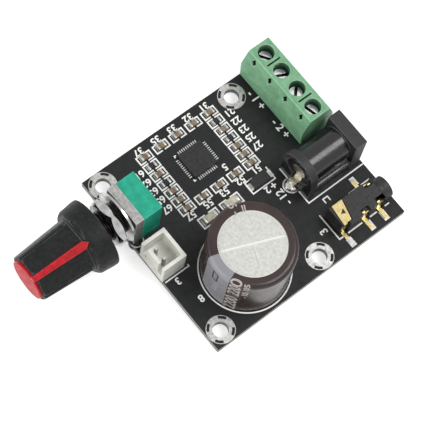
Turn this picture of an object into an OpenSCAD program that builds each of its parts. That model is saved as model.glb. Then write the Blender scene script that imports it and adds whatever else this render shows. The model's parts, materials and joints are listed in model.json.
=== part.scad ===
// Stereo audio amplifier board with a volume knob, speaker terminals, a power socket and an audio socket.
// Lengths are in millimetres. The origin is midway between the two front holes, on the board's underside.
// X runs along the knob edge, Y towards the connector edge and Z up.

/* [Board] */
// Width of the board along its knob edge
board_w = 45; // [44:0.5:60]
// Depth of the board from the knob edge to the connector edge
board_d = 50; // [49:0.5:65]
// Thickness of the board
board_t = 1.6; // [1:0.1:2.4]
// Diameter of the four mounting holes
mount_hole_d = 3.4; // [2.6:0.1:4]
// Distance of the corner holes from the board's edges
hole_inset = 3.1; // [2.6:0.1:3.6]
// Distance of the rear left hole from the knob edge
rear_left_hole_y = 37.3; // [35:0.1:39]
// Distance of the rear right hole from the knob edge
rear_right_hole_y = 29.3; // [27:0.1:32]
// Length of the cut leads below the board
lead_stub = 1.5; // [1:0.1:3]
// Room round a lead in its drilled hole
drill_room = 0.15; // [0.05:0.05:0.3]
// Height of the solder cones under the board
solder_h = 0.9; // [0.5:0.1:1.2]
// Width of the solder foot round a lead
solder_foot = 0.7; // [0.4:0.1:1]

/* [Volume control] */
// Distance of the shaft from the board's left edge
pot_x = 12.2; // [11:0.1:13]
// Distance of the frame's face from the knob edge
pot_setback = 0.2; // [0:0.1:1.5]
// Width of the frame
pot_w = 9.6; // [8.6:0.1:11]
// Height of the frame above the board
pot_h = 11.2; // [10.5:0.1:13]
// Depth from the frame's face to the back of the housing
pot_depth = 6.7; // [6:0.1:9]
// Height of the shaft above the board
pot_axis_h = 7; // [6:0.1:7.5]
// Depth of the frame's folded sides
frame_depth = 2.1; // [1.8:0.1:3]
// Thickness of the frame's sheet
frame_sheet = 0.6; // [0.4:0.1:0.8]
// Width of a frame leg where it enters the board
frame_leg_w = 1.3; // [0.8:0.1:1.6]
// Outside diameter of the threaded bushing
bushing_d = 7; // [6.5:0.1:8]
// Length of the bushing in front of the frame
bushing_len = 5; // [4:0.1:8]
// Diameter of the shaft outside the bushing
shaft_d = 6; // [4.5:0.1:6.2]
// Length of the shaft in front of the frame
shaft_len = 15; // [12:0.5:18]
// Depth of the flat on the shaft
shaft_flat = 1.5; // [0.5:0.1:2]
// Spacing of the solder pins
pot_pin_pitch = 2.5; // [2:0.1:3]
// Width of a solder pin
pot_pin_w = 0.7; // [0.5:0.1:0.9]
// Outside diameter of the flat washer
washer_d = 11.4; // [9:0.1:12.5]
// Thickness of the flat washer
washer_t = 0.5; // [0.3:0.1:0.8]
// Width of the nut across its flats
nut_af = 10; // [9:0.1:11]
// Thickness of the nut
nut_t = 2; // [1.5:0.1:2.5]
// Height of the bushing's collar under the washer
collar_h = 0.5; // [0.2:0.1:0.8]
// Distance that the loose nut stands in front of the washer
nut_gap = 1.1; // [0:0.1:1.4]

/* [Knob] */
// Diameter of the knob's skirt
knob_d = 15.4; // [14.8:0.1:16]
// Length of the knob without its end cap
knob_len = 16.6; // [14:0.1:20]
// Distance between the bushing and the knob
knob_gap = 1.2; // [0.5:0.1:2]
// Length of the skirt
skirt_len = 4.5; // [3.5:0.1:6]
// Diameter of the grip beside the skirt
grip_base_d = 12.3; // [11.4:0.1:12.4]
// Diameter of the grip at its end
grip_end_d = 10.6; // [10.2:0.1:11.2]
// Number of grooves round the grip, the pointer's own among them
groove_count = 6; // [6:1:14]
// Side of the square that cuts a groove on its corner
groove_w = 0.7; // [0.4:0.1:0.9]
// Angle of the pointer from upright, clockwise
pointer_angle = 22; // [-150:1:150]
// Width of the pointer beside the skirt
pointer_w = 1.75; // [1:0.05:2]
// Height of the pointer above the grip
pointer_h = 0.35; // [0.2:0.05:0.6]
// Diameter of the pointer's end cap
cap_d = 8.8; // [7:0.1:9.4]
// Height of the end cap above the grip's end
cap_h = 0.6; // [0.3:0.1:1]

/* [Two-pin connector] */
// Distance of the connector's middle from the board's left edge
header_x = 23.24; // [22:0.05:23.5]
// Distance that the connector stands out over the knob edge
header_overhang = 0.2; // [0:0.1:0.8]
// Width of the connector
header_w = 7.5; // [7:0.1:9]
// Depth of the connector
header_d = 5.75; // [5.2:0.05:7]
// Height of the connector
header_h = 7; // [6:0.1:9]
// Thickness of the connector's walls
header_wall = 0.8; // [0.6:0.1:1]
// Thickness of the connector's floor
header_floor = 2.4; // [1.5:0.1:3]
// Spacing of the two pins
header_pitch = 2.54; // [2:0.02:2.6]
// Side of a square pin
header_pin_w = 0.64; // [0.5:0.02:0.8]
// Height of the pins above the board
header_pin_h = 6; // [5:0.1:6.5]
// Distance of the pins from the connector's front face
header_pin_y = 2; // [1.8:0.05:3]
// Width of the two slots in the front wall
header_slot_w = 1.1; // [0.6:0.1:1.4]

/* [Capacitor] */
// Distance of the capacitor from the board's left edge
cap_x = 34.65; // [34:0.05:37]
// Distance of the capacitor from the knob edge
cap_y = 15.35; // [14:0.05:17]
// Diameter of the aluminium can
can_d = 18; // [16:0.5:18.5]
// Height of the capacitor above the board
can_h = 14.4; // [12:0.1:25]
// Thickness of the shrink sleeve
sleeve_t = 0.3; // [0.2:0.05:0.4]
// Radius of the bare disc that the sleeve leaves on top
bare_r = 7.1; // [6:0.1:7.6]
// Height of the can's lower rim above the board
can_lift = 0.6; // [0.4:0.1:1]
// Thickness of the rubber seal inside the can
seal_t = 2.6; // [2:0.1:4]
// Spacing of the two leads
cap_lead_pitch = 7.5; // [5:0.1:8]
// Diameter of the leads
cap_lead_d = 0.8; // [0.6:0.05:1]
// Depth of the vent score on top
score_depth = 0.2; // [0.1:0.05:0.4]

/* [Speaker terminals] */
// Spacing of the poles
pole_pitch = 5.08; // [4.8:0.02:5.2]
// Depth of a terminal block
term_d = 8.5; // [8:0.1:10]
// Height of a terminal block
term_h = 10; // [9.4:0.1:13]
// Height of the block's upright lower faces
term_waist_h = 5.9; // [5:0.1:7]
// Distance that the top edges lie in from the widest part
term_top_inset = 1.6; // [1:0.1:2]
// Distance that the block's foot lies in at the front
term_foot_inset = 0.5; // [0.2:0.1:0.8]
// Diameter of the screw wells
well_d = 3.5; // [3.3:0.1:4]
// Diameter of a screw's head
screw_head_d = 3.1; // [2.9:0.1:3.2]
// Thickness of a screw's head
screw_head_t = 0.9; // [0.8:0.1:1.4]
// Diameter of a screw's thread
screw_d = 2.5; // [2:0.1:2.6]
// Travel of a clamp from open to closed
clamp_travel = 1.6; // [1.4:0.1:2]
// Width of a clamp cage
clamp_w = 3.8; // [3.4:0.1:4]
// Depth of a clamp cage
clamp_d = 3.2; // [2.8:0.1:3.4]
// Thickness of the clamp's side walls and floor
clamp_wall = 0.5; // [0.4:0.1:0.6]
// Thickness of the clamp's tapped top
clamp_top = 0.8; // [0.8:0.1:1.2]
// Thickness of the fixed contact bar
bar_t = 0.5; // [0.5:0.1:0.8]
// Width of a terminal's solder pin
term_pin_w = 1; // [0.7:0.1:1.2]
// Width of a wire entry
entry_w = 3.5; // [3:0.1:3.8]

/* [Power socket] */
// Distance of the socket's middle from the side of the terminal blocks
dc_x = 5.98; // [5.7:0.02:6.6]
// Distance of the socket's mouth from the connector edge
dc_setback = 0.6; // [0:0.1:1]
// Width of the socket
dc_w = 9; // [8.6:0.1:9.4]
// Height of the socket's flange
dc_h = 11; // [10.6:0.1:12]
// Length of the socket
dc_len = 14.2; // [13:0.1:15]
// Length of the square flange
dc_flange_len = 3; // [2.4:0.1:4]
// Length of the round collar at the rear
dc_collar_len = 1.9; // [1.4:0.1:2.4]
// Height of the socket's axis above the board
dc_axis_h = 6.3; // [6:0.1:6.8]
// Diameter of the barrel between collar and flange
dc_barrel_d = 7.6; // [7.4:0.1:8.2]
// Diameter of the hole for the plug
dc_bore_d = 6.4; // [5.8:0.1:6.6]
// Diameter of the centre pin
dc_pin_d = 2.1; // [1.5:0.1:2.5]
// Distance of the pin's tip behind the mouth
dc_pin_recess = 1; // [0.5:0.1:2]
// Thickness of the contact strips
dc_strip_t = 0.4; // [0.3:0.05:0.5]

/* [Audio socket] */
// Distance of the socket's middle from the board's left edge
aj_x = 38.7; // [38.4:0.1:39.4]
// Distance of the nose's end from the connector edge
aj_setback = 0.6; // [0:0.1:1]
// Width of the socket's body
aj_w = 5.5; // [5.4:0.1:6]
// Height of the socket's body
aj_h = 5; // [4.6:0.1:6]
// Length of the socket's body behind its nose
aj_body_len = 11.3; // [11:0.1:13]
// Diameter of the round nose
aj_nose_d = 5; // [4.6:0.1:5.4]
// Length of the round nose
aj_nose_len = 2.5; // [1.5:0.1:3.5]
// Diameter of the hole for the plug
aj_bore_d = 3.6; // [3.5:0.05:3.8]
// Thickness of the contact strips
aj_strip_t = 0.25; // [0.15:0.05:0.35]

/* [Chips] */
// Width of the square amplifier chip
chip_w = 6; // [5:0.1:7]
// Thickness of the amplifier chip
chip_t = 0.9; // [0.6:0.1:1.2]
// Number of terminals on each side of the chip
chip_side_count = 10; // [6:1:12]
// Spacing of the chip's terminals
chip_pitch = 0.5; // [0.4:0.05:0.5]
// Length of a small chip part
small_len = 2; // [1.6:0.1:2.2]
// Width of a small chip part
small_w = 1.2; // [0.8:0.05:1.4]
// Height of a small chip capacitor
small_cap_h = 0.8; // [0.5:0.05:1]
// Height of a small chip resistor
small_res_h = 0.45; // [0.3:0.05:0.6]
// Length of the two larger ceramic capacitors
large_len = 3.2; // [2.8:0.1:3.6]
// Width of the two larger ceramic capacitors
large_w = 1.6; // [1.2:0.1:2]
// Height of the two larger ceramic capacitors
large_h = 1; // [0.8:0.1:1.4]
// Length of the diode's body
diode_len = 4; // [3.4:0.1:4.4]
// Width of the diode's body
diode_w = 2.6; // [2:0.1:3]
// Height of the diode
diode_h = 1.1; // [0.8:0.1:2]

/* [Hidden] */
$fn = 48;
slop = 0.5;
fit = 0.03;
touch = 0.02;

origin_x = board_w / 2;
origin_y = hole_inset;
lead_end = -board_t - lead_stub;

hole_places = [
    [hole_inset, hole_inset],
    [board_w - hole_inset, hole_inset],
    [hole_inset, rear_left_hole_y],
    [board_w - hole_inset, rear_right_hole_y]
];

// Inside of the volume control, worked out from its frame and the height of its shaft
cavity_margin = 0.4;
cavity_r = min(pot_w / 2, pot_h - pot_axis_h) - frame_sheet - cavity_margin;
cavity_front = frame_sheet + 0.6;
pot_rear_wall = 0.9;
cavity_back = pot_depth - pot_rear_wall;
spigot_r = cavity_r - 0.2;
neck_r = spigot_r - 0.8;
track_t = 0.8;
rotor_gap = 0.1;
rotor_t = 1.6;
wiper_t = 0.2;
pot_pin_t = 0.4;
pot_pin_top = pot_axis_h - cavity_r / 2;
pot_housing_top = pot_h - 0.3;
shaft_shoulder_gap = 0.1;
collar_w = 0.8;
nut_bevel_inset = 0.2;
nut_bevel_angle = 35;

// Knob, counted along the shaft from the frame's face
knob_start = bushing_len + knob_gap;
grip_start = skirt_len + 0.4;
grip_taper = atan((grip_base_d - grip_end_d) / 2 / (knob_len - grip_start));
shaft_in_knob = shaft_len - knob_start;
knob_bore_depth = shaft_in_knob + 0.5;
knob_wall = 1.1;
cap_recess = 0.8;
pointer_seat = 0.5;
pointer_start = skirt_len - 0.4;
pointer_point = 1;
pointer_end_w = pointer_w * 0.65;
skirt_r = knob_d / 2;
skirt_bevel = 0.8;
grip_fillet = 0.4;
groove_step = 360 / groove_count;
grip_face_half = 0.35 * groove_step;
grip_face_drop = 1.1;

// Speaker terminals, stacked upwards from the block's floor
pole_count = 4;
term_row_w = pole_count * pole_pitch;
term_y = board_d - term_d / 2;
term_floor = 0.7;
clamp_clear = 0.1;
clamp_rest = term_floor + clamp_clear;
wire_gap = clamp_travel + 0.25;
bar_z = clamp_rest + clamp_wall + wire_gap;
bar_top = bar_z + bar_t;
clamp_top_z = bar_top + clamp_clear + clamp_top;
term_cavity_top = clamp_top_z + clamp_travel + clamp_clear / 2;
ledge_t = 0.4;
head_z = term_cavity_top + ledge_t;
pin_strip_t = 0.6;
pin_strip_y = -clamp_d / 2 - clamp_clear - pin_strip_t / 2;
cavity_half_w = clamp_w / 2 + clamp_clear;
term_cavity_front = pin_strip_y - pin_strip_t / 2 - clamp_clear / 2;
term_cavity_rear = clamp_d / 2 + clamp_clear;
bar_half_w = clamp_w / 2 - clamp_wall - clamp_clear;
slot_angles = [35, -20, 60, 10];
screw_room = 0.15;
probe_half_w = 0.6;
probe_half_h = 0.95;
probe_depth = 1.1;
divider_w = 0.4;
divider_depth = 1.4;

// Power socket, counted from its rear face towards its mouth
dc_mid_x = term_row_w + dc_x;
dc_y = board_d - dc_setback - dc_len;
dc_chamber = 1.3;
dc_wall = 1.8;
dc_floor_y = dc_chamber + dc_wall;
dc_bore_r = dc_bore_d / 2;
rivet_t = 0.5;
rivet_r = dc_pin_d / 2 + 0.7;
dc_base_inset = 0.2;
dc_base_h = 3.7;
dc_tab_w = 1.8;
dc_eye_r = dc_pin_d / 2 + 0.5;
dc_tab_y = -0.8;
dc_tab_room = 0.2;
dc_shelf_drop = 1.3;
dc_shelf_z = dc_axis_h - dc_bore_r - dc_shelf_drop;
dc_leg_w = 1;
dc_spring_y = dc_floor_y + 0.6;
dc_spring_z = dc_axis_h - dc_bore_r - 0.5;
dc_spring_w = 2.2;
dc_trough_room = 1.6;
dc_hump = 0.5;
dc_switch_inset = 1.4;
dc_switch_y = dc_len - dc_flange_len - dc_switch_inset;

// Audio socket, counted from its rear face towards its nose
aj_y = board_d - aj_setback - aj_nose_len - aj_body_len;
aj_axis_h = aj_h / 2;
aj_rear_wall = 1.7;
aj_bore_depth = aj_nose_len + aj_body_len - aj_rear_wall;
aj_plate_margin = 0.1;
aj_corner = 0.85;
aj_plate_left = aj_plate_margin - aj_w / 2;
aj_plate_right = aj_w / 2 - aj_corner;
aj_plate_y = 0.4;
aj_plate_skew = 0.5;
aj_plate_left_len = 2.7;
aj_plate_right_len = 2;
aj_plate_hole_r = 0.6;
aj_plate_hole_x = -0.4;
aj_plate_hole_y = 2.1;
aj_plate_sink = 0.1;
aj_plate_room = 0.15;
aj_link_y = 0.4;
aj_link_w = 0.8;
aj_wing_z = 2.3;
aj_wing_over = 0.2;
aj_foot_reach = 2;
aj_bore_wall = 0.25;
aj_pocket_depth = aj_w / 2 - aj_bore_d / 2 - aj_bore_wall;
aj_pocket_x = aj_w / 2 - aj_pocket_depth;
aj_riser_x = aj_pocket_x + 0.2;
aj_riser_front = -1.15;
aj_riser_rear = 0.6;
aj_riser_h = aj_h - 1.1;
aj_curl_r = 0.45;
aj_curl_w = 0.7;
aj_curl_room = 0.1;
aj_side_foot_w = 0.9;
aj_side_foot_reach = 3;
// Side contacts, each with its distance from the rear face and its turn
aj_side_places = [[6.4, 0], [10.4, 0], [9.8, 180]];

// Places of the chips, from the board's left edge and the knob edge
chip_place = [10.15, 22.4];
row_x = 3.3;
row_pitch = 2.35;
row_count = 7;
row_ys = [31.05, 13.9];
column_ys = [26.8, 22.5, 18.2];
resistor_columns = [1, 3];
large_places = [[21.9, 22.1], [21.9, 16.4]];
diode_place = [21.6, 30];
diode_lead_w = 1.4;
diode_lead_len = 0.5;
end_len = 0.45;
large_end_len = 0.5;
chip_lead_len = 0.4;
chip_lead_w = 0.25;
chip_lead_t = 0.2;

small_cap_places = concat(
    [for (y = row_ys, i = [0 : row_count - 1])
        if (len(search(i, resistor_columns)) == 0) [row_x + i * row_pitch, y]],
    [for (y = column_ys, i = [0, row_count - 1]) [row_x + i * row_pitch, y]]
);
small_res_places = [for (y = row_ys, i = resistor_columns) [row_x + i * row_pitch, y]];

// Leads that pass through the board: a place with a width and a depth, or with one diameter
pot_leads = concat(
    [for (side = [-1, 1])
        [pot_x + side * (pot_w - frame_sheet) / 2, pot_setback + frame_depth / 2, frame_sheet, frame_leg_w]],
    [for (i = [-1 : 1])
        [pot_x + i * pot_pin_pitch, pot_setback + cavity_back + pot_pin_t / 2, pot_pin_w, pot_pin_t]]
);
header_leads = [for (side = [-1, 1])
    [header_x + side * header_pitch / 2, header_pin_y - header_overhang, header_pin_w, header_pin_w]];
capacitor_lead_places = [for (side = [-1, 1]) [cap_x + side * cap_lead_pitch / 2, cap_y, cap_lead_d]];
terminal_leads = [for (i = [0 : pole_count - 1])
    [pole_x(i), term_y + pin_strip_y, term_pin_w, pin_strip_t]];
dc_leads = [
    [dc_mid_x, dc_y + dc_tab_y + dc_strip_t / 2, dc_tab_w, dc_strip_t],
    [dc_mid_x, dc_y + dc_spring_y + dc_strip_t / 2, dc_leg_w, dc_strip_t],
    [dc_mid_x, dc_y + dc_switch_y + dc_strip_t / 2, dc_leg_w, dc_strip_t]
];
leads = concat(pot_leads, header_leads, capacitor_lead_places, terminal_leads, dc_leads);

function pole_x(i) = (i + 0.5) * pole_pitch;
function lead_reach(lead) = len(lead) == 3 ? lead[2] / 2 : norm([lead[2], lead[3]]) / 2;

// Places children at a point of the board's top face, from its front left corner
module on_board(x = 0, y = 0, z = 0) {
    translate([x - origin_x, y - origin_y, board_t + z]) children();
}

// Places children on the volume shaft, with Z pointing out of the frame's face
module on_shaft(out = 0) {
    on_board(pot_x, pot_setback, pot_axis_h) rotate([90, 0, 0]) translate([0, 0, out]) children();
}

// Box that is centred along X and Y and stands on z
module block(size, z = 0) {
    translate([-size[0] / 2, -size[1] / 2, z]) cube(size);
}

// Box that is centred along X only and starts at y and z
module bar(size, y = 0, z = 0) {
    translate([-size[0] / 2, y, z]) cube(size);
}

// Extrudes a shape drawn in Y and Z along X, centred
module along_x(width) {
    translate([-width / 2, 0, 0]) rotate([90, 0, 90]) linear_extrude(width) children();
}

// Extrudes a shape drawn in X and Z along Y, from y
module along_y(length, y = 0) {
    translate([0, y + length, 0]) rotate([90, 0, 0]) linear_extrude(length) children();
}

// Outline of a lead where it passes through the board
module lead_outline(lead, room = 0) {
    translate([lead[0], lead[1]])
        if (len(lead) == 3) circle(d = lead[2] + 2 * room);
        else square([lead[2] + 2 * room, lead[3] + 2 * room], center = true);
}

// Straight stretch of a lead from the cut end up to a height
module lead_run(lead, top) {
    translate([0, 0, lead_end]) linear_extrude(top - lead_end) lead_outline(lead);
}

module circuit_board() {
    color([0.07, 0.07, 0.08]) on_board(0, 0, -board_t) difference() {
        cube([board_w, board_d, board_t]);
        for (place = hole_places)
            translate([place[0], place[1], -slop]) cylinder(d = mount_hole_d, h = board_t + 2 * slop);
        for (lead = leads)
            translate([lead[0], lead[1], -slop])
                cylinder(r = lead_reach(lead) + drill_room, h = board_t + 2 * slop);
    }
}

module solder_joints() {
    color([0.72, 0.73, 0.74]) on_board(0, 0, -board_t - solder_h) difference() {
        for (lead = leads)
            translate([lead[0], lead[1], 0])
                cylinder(r1 = lead_reach(lead) + 0.25, r2 = lead_reach(lead) + solder_foot, h = solder_h);
        for (lead = leads)
            translate([0, 0, -slop]) linear_extrude(solder_h + 2 * slop) lead_outline(lead, touch);
    }
}

module pot_frame() {
    color([0.75, 0.75, 0.76]) {
        on_board(pot_x, pot_setback) difference() {
            bar([pot_w, frame_depth, pot_h]);
            bar([pot_w - 2 * frame_sheet, frame_depth, pot_h - frame_sheet + slop], frame_sheet, -slop);
            translate([0, -slop, pot_axis_h]) rotate([-90, 0, 0])
                cylinder(r = spigot_r + fit, h = frame_sheet + 2 * slop);
        }
        on_board() for (i = [0, 1]) lead_run(pot_leads[i], 0);
    }
}

module pot_bushing() {
    bore_len = cavity_front + bushing_len;
    color([0.72, 0.66, 0.5]) on_shaft() difference() {
        union() {
            cylinder(d = bushing_d, h = bushing_len);
            cylinder(d = bushing_d + 2 * collar_w, h = collar_h);
            translate([0, 0, -cavity_front]) cylinder(r = spigot_r, h = cavity_front + slop);
        }
        translate([0, 0, -cavity_front - slop]) cylinder(r = neck_r + fit, h = bore_len + 2 * slop);
    }
}

module pot_housing() {
    tongue_w = pot_w - 2 * frame_sheet - 2 * touch;
    tongue_h = pot_h - frame_sheet - touch;
    color([0.12, 0.65, 0.5]) difference() {
        on_board(pot_x, pot_setback) union() {
            bar([tongue_w, frame_depth - frame_sheet, tongue_h], frame_sheet);
            bar([pot_w, pot_depth - frame_depth, pot_housing_top], frame_depth);
        }
        on_shaft(-cavity_back) cylinder(r = cavity_r, h = cavity_back - cavity_front);
        on_shaft(-cavity_back) cylinder(r = spigot_r + fit, h = cavity_back);
        on_board(0, 0, -slop) for (i = [2 : 4])
            linear_extrude(pot_pin_top + slop + touch) lead_outline(pot_leads[i], touch);
    }
}

module pot_shaft() {
    color([0.8, 0.8, 0.8]) on_shaft() difference() {
        union() {
            translate([0, 0, bushing_len + shaft_shoulder_gap])
                cylinder(d = shaft_d, h = shaft_len - bushing_len - shaft_shoulder_gap);
            translate([0, 0, -cavity_front - rotor_gap - rotor_t])
                cylinder(r = neck_r, h = cavity_front + rotor_gap + rotor_t + bushing_len + slop);
        }
        shaft_flat_cut(knob_start);
    }
}

// Half space that is cut away for the flat on the shaft, turned with the pointer
module shaft_flat_cut(start) {
    rotate([0, 0, -90 - pointer_angle])
        translate([shaft_d / 2 - shaft_flat, -shaft_d, start]) cube([shaft_d, 2 * shaft_d, shaft_len]);
}

module pot_rotor() {
    color([0.9, 0.88, 0.8]) on_shaft(-cavity_front - rotor_gap - rotor_t) difference() {
        cylinder(r = cavity_r - 0.25, h = rotor_t);
        translate([0, 0, -slop]) cylinder(r = neck_r + touch, h = rotor_t + 2 * slop);
    }
}

// Spring disc on the rotor with two bent fingers that reach for the track
module pot_wiper() {
    wiper_back = cavity_front + rotor_gap + rotor_t;
    finger_reach = cavity_back - track_t - wiper_back - 0.05;
    finger_r = cavity_r - 0.9;
    color([0.8, 0.65, 0.3]) on_shaft(-wiper_back) {
        translate([0, 0, -wiper_t]) cylinder(r = cavity_r - 0.5, h = wiper_t);
        for (side = [-1, 1])
            translate([0, side * finger_r, -finger_reach]) block([0.8, 0.3, finger_reach - wiper_t / 2]);
    }
}

module pot_track() {
    color([0.35, 0.22, 0.12]) on_shaft(-cavity_back) cylinder(r = cavity_r - 0.05, h = track_t);
}

module pot_pins() {
    color([0.78, 0.78, 0.78]) on_board() for (i = [2 : 4]) lead_run(pot_leads[i], pot_pin_top);
}

module pot_washer() {
    color([0.82, 0.82, 0.83]) on_shaft(collar_h) difference() {
        cylinder(d = washer_d, h = washer_t);
        translate([0, 0, -slop]) cylinder(r = bushing_d / 2 + fit, h = washer_t + 2 * slop);
    }
}

// Hexagon nut with both faces bevelled so far that its flats are lens shaped
module pot_nut() {
    corner_r = nut_af / 2 / cos(30);
    bevel_r = nut_af / 2 - nut_bevel_inset;
    peak_r = bevel_r + nut_t / 2 / tan(nut_bevel_angle);
    color([0.78, 0.78, 0.78]) on_shaft(collar_h + washer_t + nut_gap) difference() {
        intersection() {
            rotate([0, 0, 20]) cylinder(r = corner_r, h = nut_t, $fn = 6);
            rotate_extrude()
                polygon([[0, 0], [bevel_r, 0], [peak_r, nut_t / 2], [bevel_r, nut_t], [0, nut_t]]);
        }
        translate([0, 0, -slop]) cylinder(r = bushing_d / 2 + fit, h = nut_t + 2 * slop);
    }
}

// Flat between two grooves of the grip, which runs out in an arch over the skirt's shoulder
module grip_face_cut() {
    end_x = grip_end_d / 2 * cos(grip_face_half);
    base_x = grip_base_d / 2 * cos(grip_face_half);
    out_x = skirt_r + slop;
    rotate([90, 0, 0]) linear_extrude(knob_d, center = true) polygon([
        [end_x, knob_len + slop], [base_x, grip_start],
        [out_x, skirt_len - grip_face_drop], [out_x, knob_len + slop]
    ]);
}

// Skirted knob with a flat-sided, grooved grip, a hollow skirt and a bore with a flat
module knob_body() {
    hub_r = shaft_d / 2 + knob_wall;
    edge = 0.3;
    color([0.1, 0.1, 0.1]) on_shaft(knob_start) difference() {
        rotate_extrude() polygon([
            [0, 0], [skirt_r, 0], [skirt_r, 1],
            [skirt_r - edge, skirt_len - skirt_bevel], [skirt_r - skirt_bevel, skirt_len],
            [grip_base_d / 2 + grip_fillet, skirt_len], [grip_base_d / 2, grip_start],
            [grip_end_d / 2, knob_len - edge], [grip_end_d / 2 - edge, knob_len], [0, knob_len]
        ]);
        translate([0, 0, -slop]) difference() {
            cylinder(r = skirt_r - knob_wall, h = skirt_len - knob_wall + slop);
            cylinder(r = hub_r, h = skirt_len + slop);
        }
        difference() {
            translate([0, 0, -slop]) cylinder(r = shaft_d / 2 + touch, h = knob_bore_depth + slop);
            translate([0, 0, -knob_start]) shaft_flat_cut(knob_start + touch);
        }
        for (i = [1 : groove_count - 1])
            rotate([0, 0, 90 - pointer_angle + i * groove_step])
                translate([grip_base_d / 2, 0, grip_start]) rotate([0, -grip_taper, 0])
                    rotate([0, 0, 45]) translate([0, 0, knob_len / 2 + slop])
                        cube([groove_w, groove_w, knob_len], center = true);
        for (i = [0 : groove_count - 1])
            rotate([0, 0, 90 - pointer_angle + (i + 0.5) * groove_step]) grip_face_cut();
        pointer_shape(touch);
    }
}

// Pointer with a round end cap: a bar over the rim and a fin that rises along the grip to the skirt
module pointer_shape(room = 0) {
    top = knob_len + cap_h;
    seat_z = knob_len - cap_recess / 2;
    rotate([0, 0, 90 - pointer_angle]) intersection() {
        rotate([90, 0, 0]) linear_extrude(2 * pointer_w, center = true) polygon([
            [0, top], [grip_end_d / 2 + pointer_h, top],
            [skirt_r - skirt_bevel / 2, pointer_start], [skirt_r - 1.5 * skirt_bevel, pointer_start],
            [grip_base_d / 2 - pointer_seat, grip_start], [grip_end_d / 2 - pointer_seat, seat_z], [0, seat_z]
        ]);
        rotate([90, 0, 90]) linear_extrude(knob_d) polygon([
            [0, pointer_start], [pointer_w / 2, pointer_start + pointer_point],
            [pointer_end_w / 2, top + slop], [-pointer_end_w / 2, top + slop],
            [-pointer_w / 2, pointer_start + pointer_point]
        ]);
    }
    translate([0, 0, knob_len - cap_recess - room])
        cylinder(r = cap_d / 2 + room, h = cap_recess + cap_h + room);
}

module knob_pointer() {
    color([0.85, 0.12, 0.12]) on_shaft(knob_start) pointer_shape();
}

module header_housing() {
    inner_w = header_w - 2 * header_wall;
    slot_x = inner_w / 2 - header_slot_w / 2;
    color([0.92, 0.91, 0.86]) on_board() difference() {
        translate([header_x, -header_overhang, 0]) difference() {
            bar([header_w, header_d, header_h]);
            bar([inner_w, header_d - 2 * header_wall, header_h], header_wall, header_floor);
            for (side = [-1, 1])
                translate([side * slot_x, -slop, header_floor])
                    bar([header_slot_w, header_wall + 2 * slop, header_h]);
        }
        for (lead = header_leads)
            translate([0, 0, -slop]) linear_extrude(header_floor + 2 * slop) lead_outline(lead, touch);
    }
}

module header_pins() {
    color([0.85, 0.85, 0.85]) on_board() for (lead = header_leads) lead_run(lead, header_pin_h);
}

// Vent score on the can's top: V grooves from its middle, each with a turn, a length and a share of the depth
module vent_score() {
    score_w = 0.6;
    reach = bare_r - 0.5;
    for (line = [[68, reach, 1], [248, reach, 1], [-22, reach * 0.9, 0.8], [158, reach * 0.8, 0.4]])
        rotate([0, 0, line[0]]) rotate([90, 0, 90]) linear_extrude(line[1])
            polygon(line[2] * [[0, -score_depth], [score_w, score_depth], [-score_w, score_depth]]);
}

module capacitor_can() {
    can_r = can_d / 2;
    rim = 0.8;
    top = can_h - sleeve_t;
    bead_z = can_lift + seal_t + 0.6;
    color([0.85, 0.85, 0.83]) on_board(cap_x, cap_y) difference() {
        rotate_extrude() difference() {
            union() {
                translate([0, can_lift]) square([can_r, top - can_lift - rim]);
                translate([0, can_lift]) square([can_r - rim, top - can_lift]);
                translate([can_r - rim, top - rim]) circle(r = rim);
            }
            translate([can_r + 0.3, bead_z]) circle(r = 0.8);
        }
        translate([0, 0, can_lift - slop]) cylinder(r = can_r - 0.5, h = seal_t + slop);
        translate([0, 0, top]) vent_score();
    }
}

module capacitor_sleeve() {
    outer_r = can_d / 2 + sleeve_t;
    rim = 0.8 + sleeve_t;
    color([0.36, 0.26, 0.26]) on_board(cap_x, cap_y) rotate_extrude() difference() {
        union() {
            translate([0, can_lift - 0.2]) square([outer_r, can_h - can_lift + 0.2 - rim]);
            translate([0, can_lift - 0.2]) square([outer_r - rim, can_h - can_lift + 0.2]);
            translate([outer_r - rim, can_h - rim]) circle(r = rim);
        }
        square([outer_r - sleeve_t + touch, can_h - rim]);
        square([outer_r - rim, can_h - sleeve_t + touch]);
        translate([outer_r - rim, can_h - rim]) circle(r = rim - sleeve_t + touch);
        square([bare_r, can_h + slop]);
    }
}

module capacitor_seal() {
    seal_r = can_d / 2 - 0.5 - touch;
    color([0.12, 0.12, 0.12]) on_board() difference() {
        translate([cap_x, cap_y, 0]) cylinder(r = seal_r, h = can_lift + seal_t);
        for (lead = capacitor_lead_places)
            translate([0, 0, -slop]) linear_extrude(can_lift + seal_t + 2 * slop) lead_outline(lead, touch);
    }
}

module capacitor_leads() {
    color([0.8, 0.8, 0.8]) on_board() for (lead = capacitor_lead_places) lead_run(lead, can_lift + seal_t);
}

// End outline of a terminal block, drawn in Y and Z round the screws
module terminal_outline() {
    half = term_d / 2;
    polygon([
        [-half + term_foot_inset, 0], [-half, term_waist_h], [-half + term_top_inset, term_h],
        [half - term_top_inset, term_h], [half, term_waist_h], [half, 0]
    ]);
}

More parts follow.
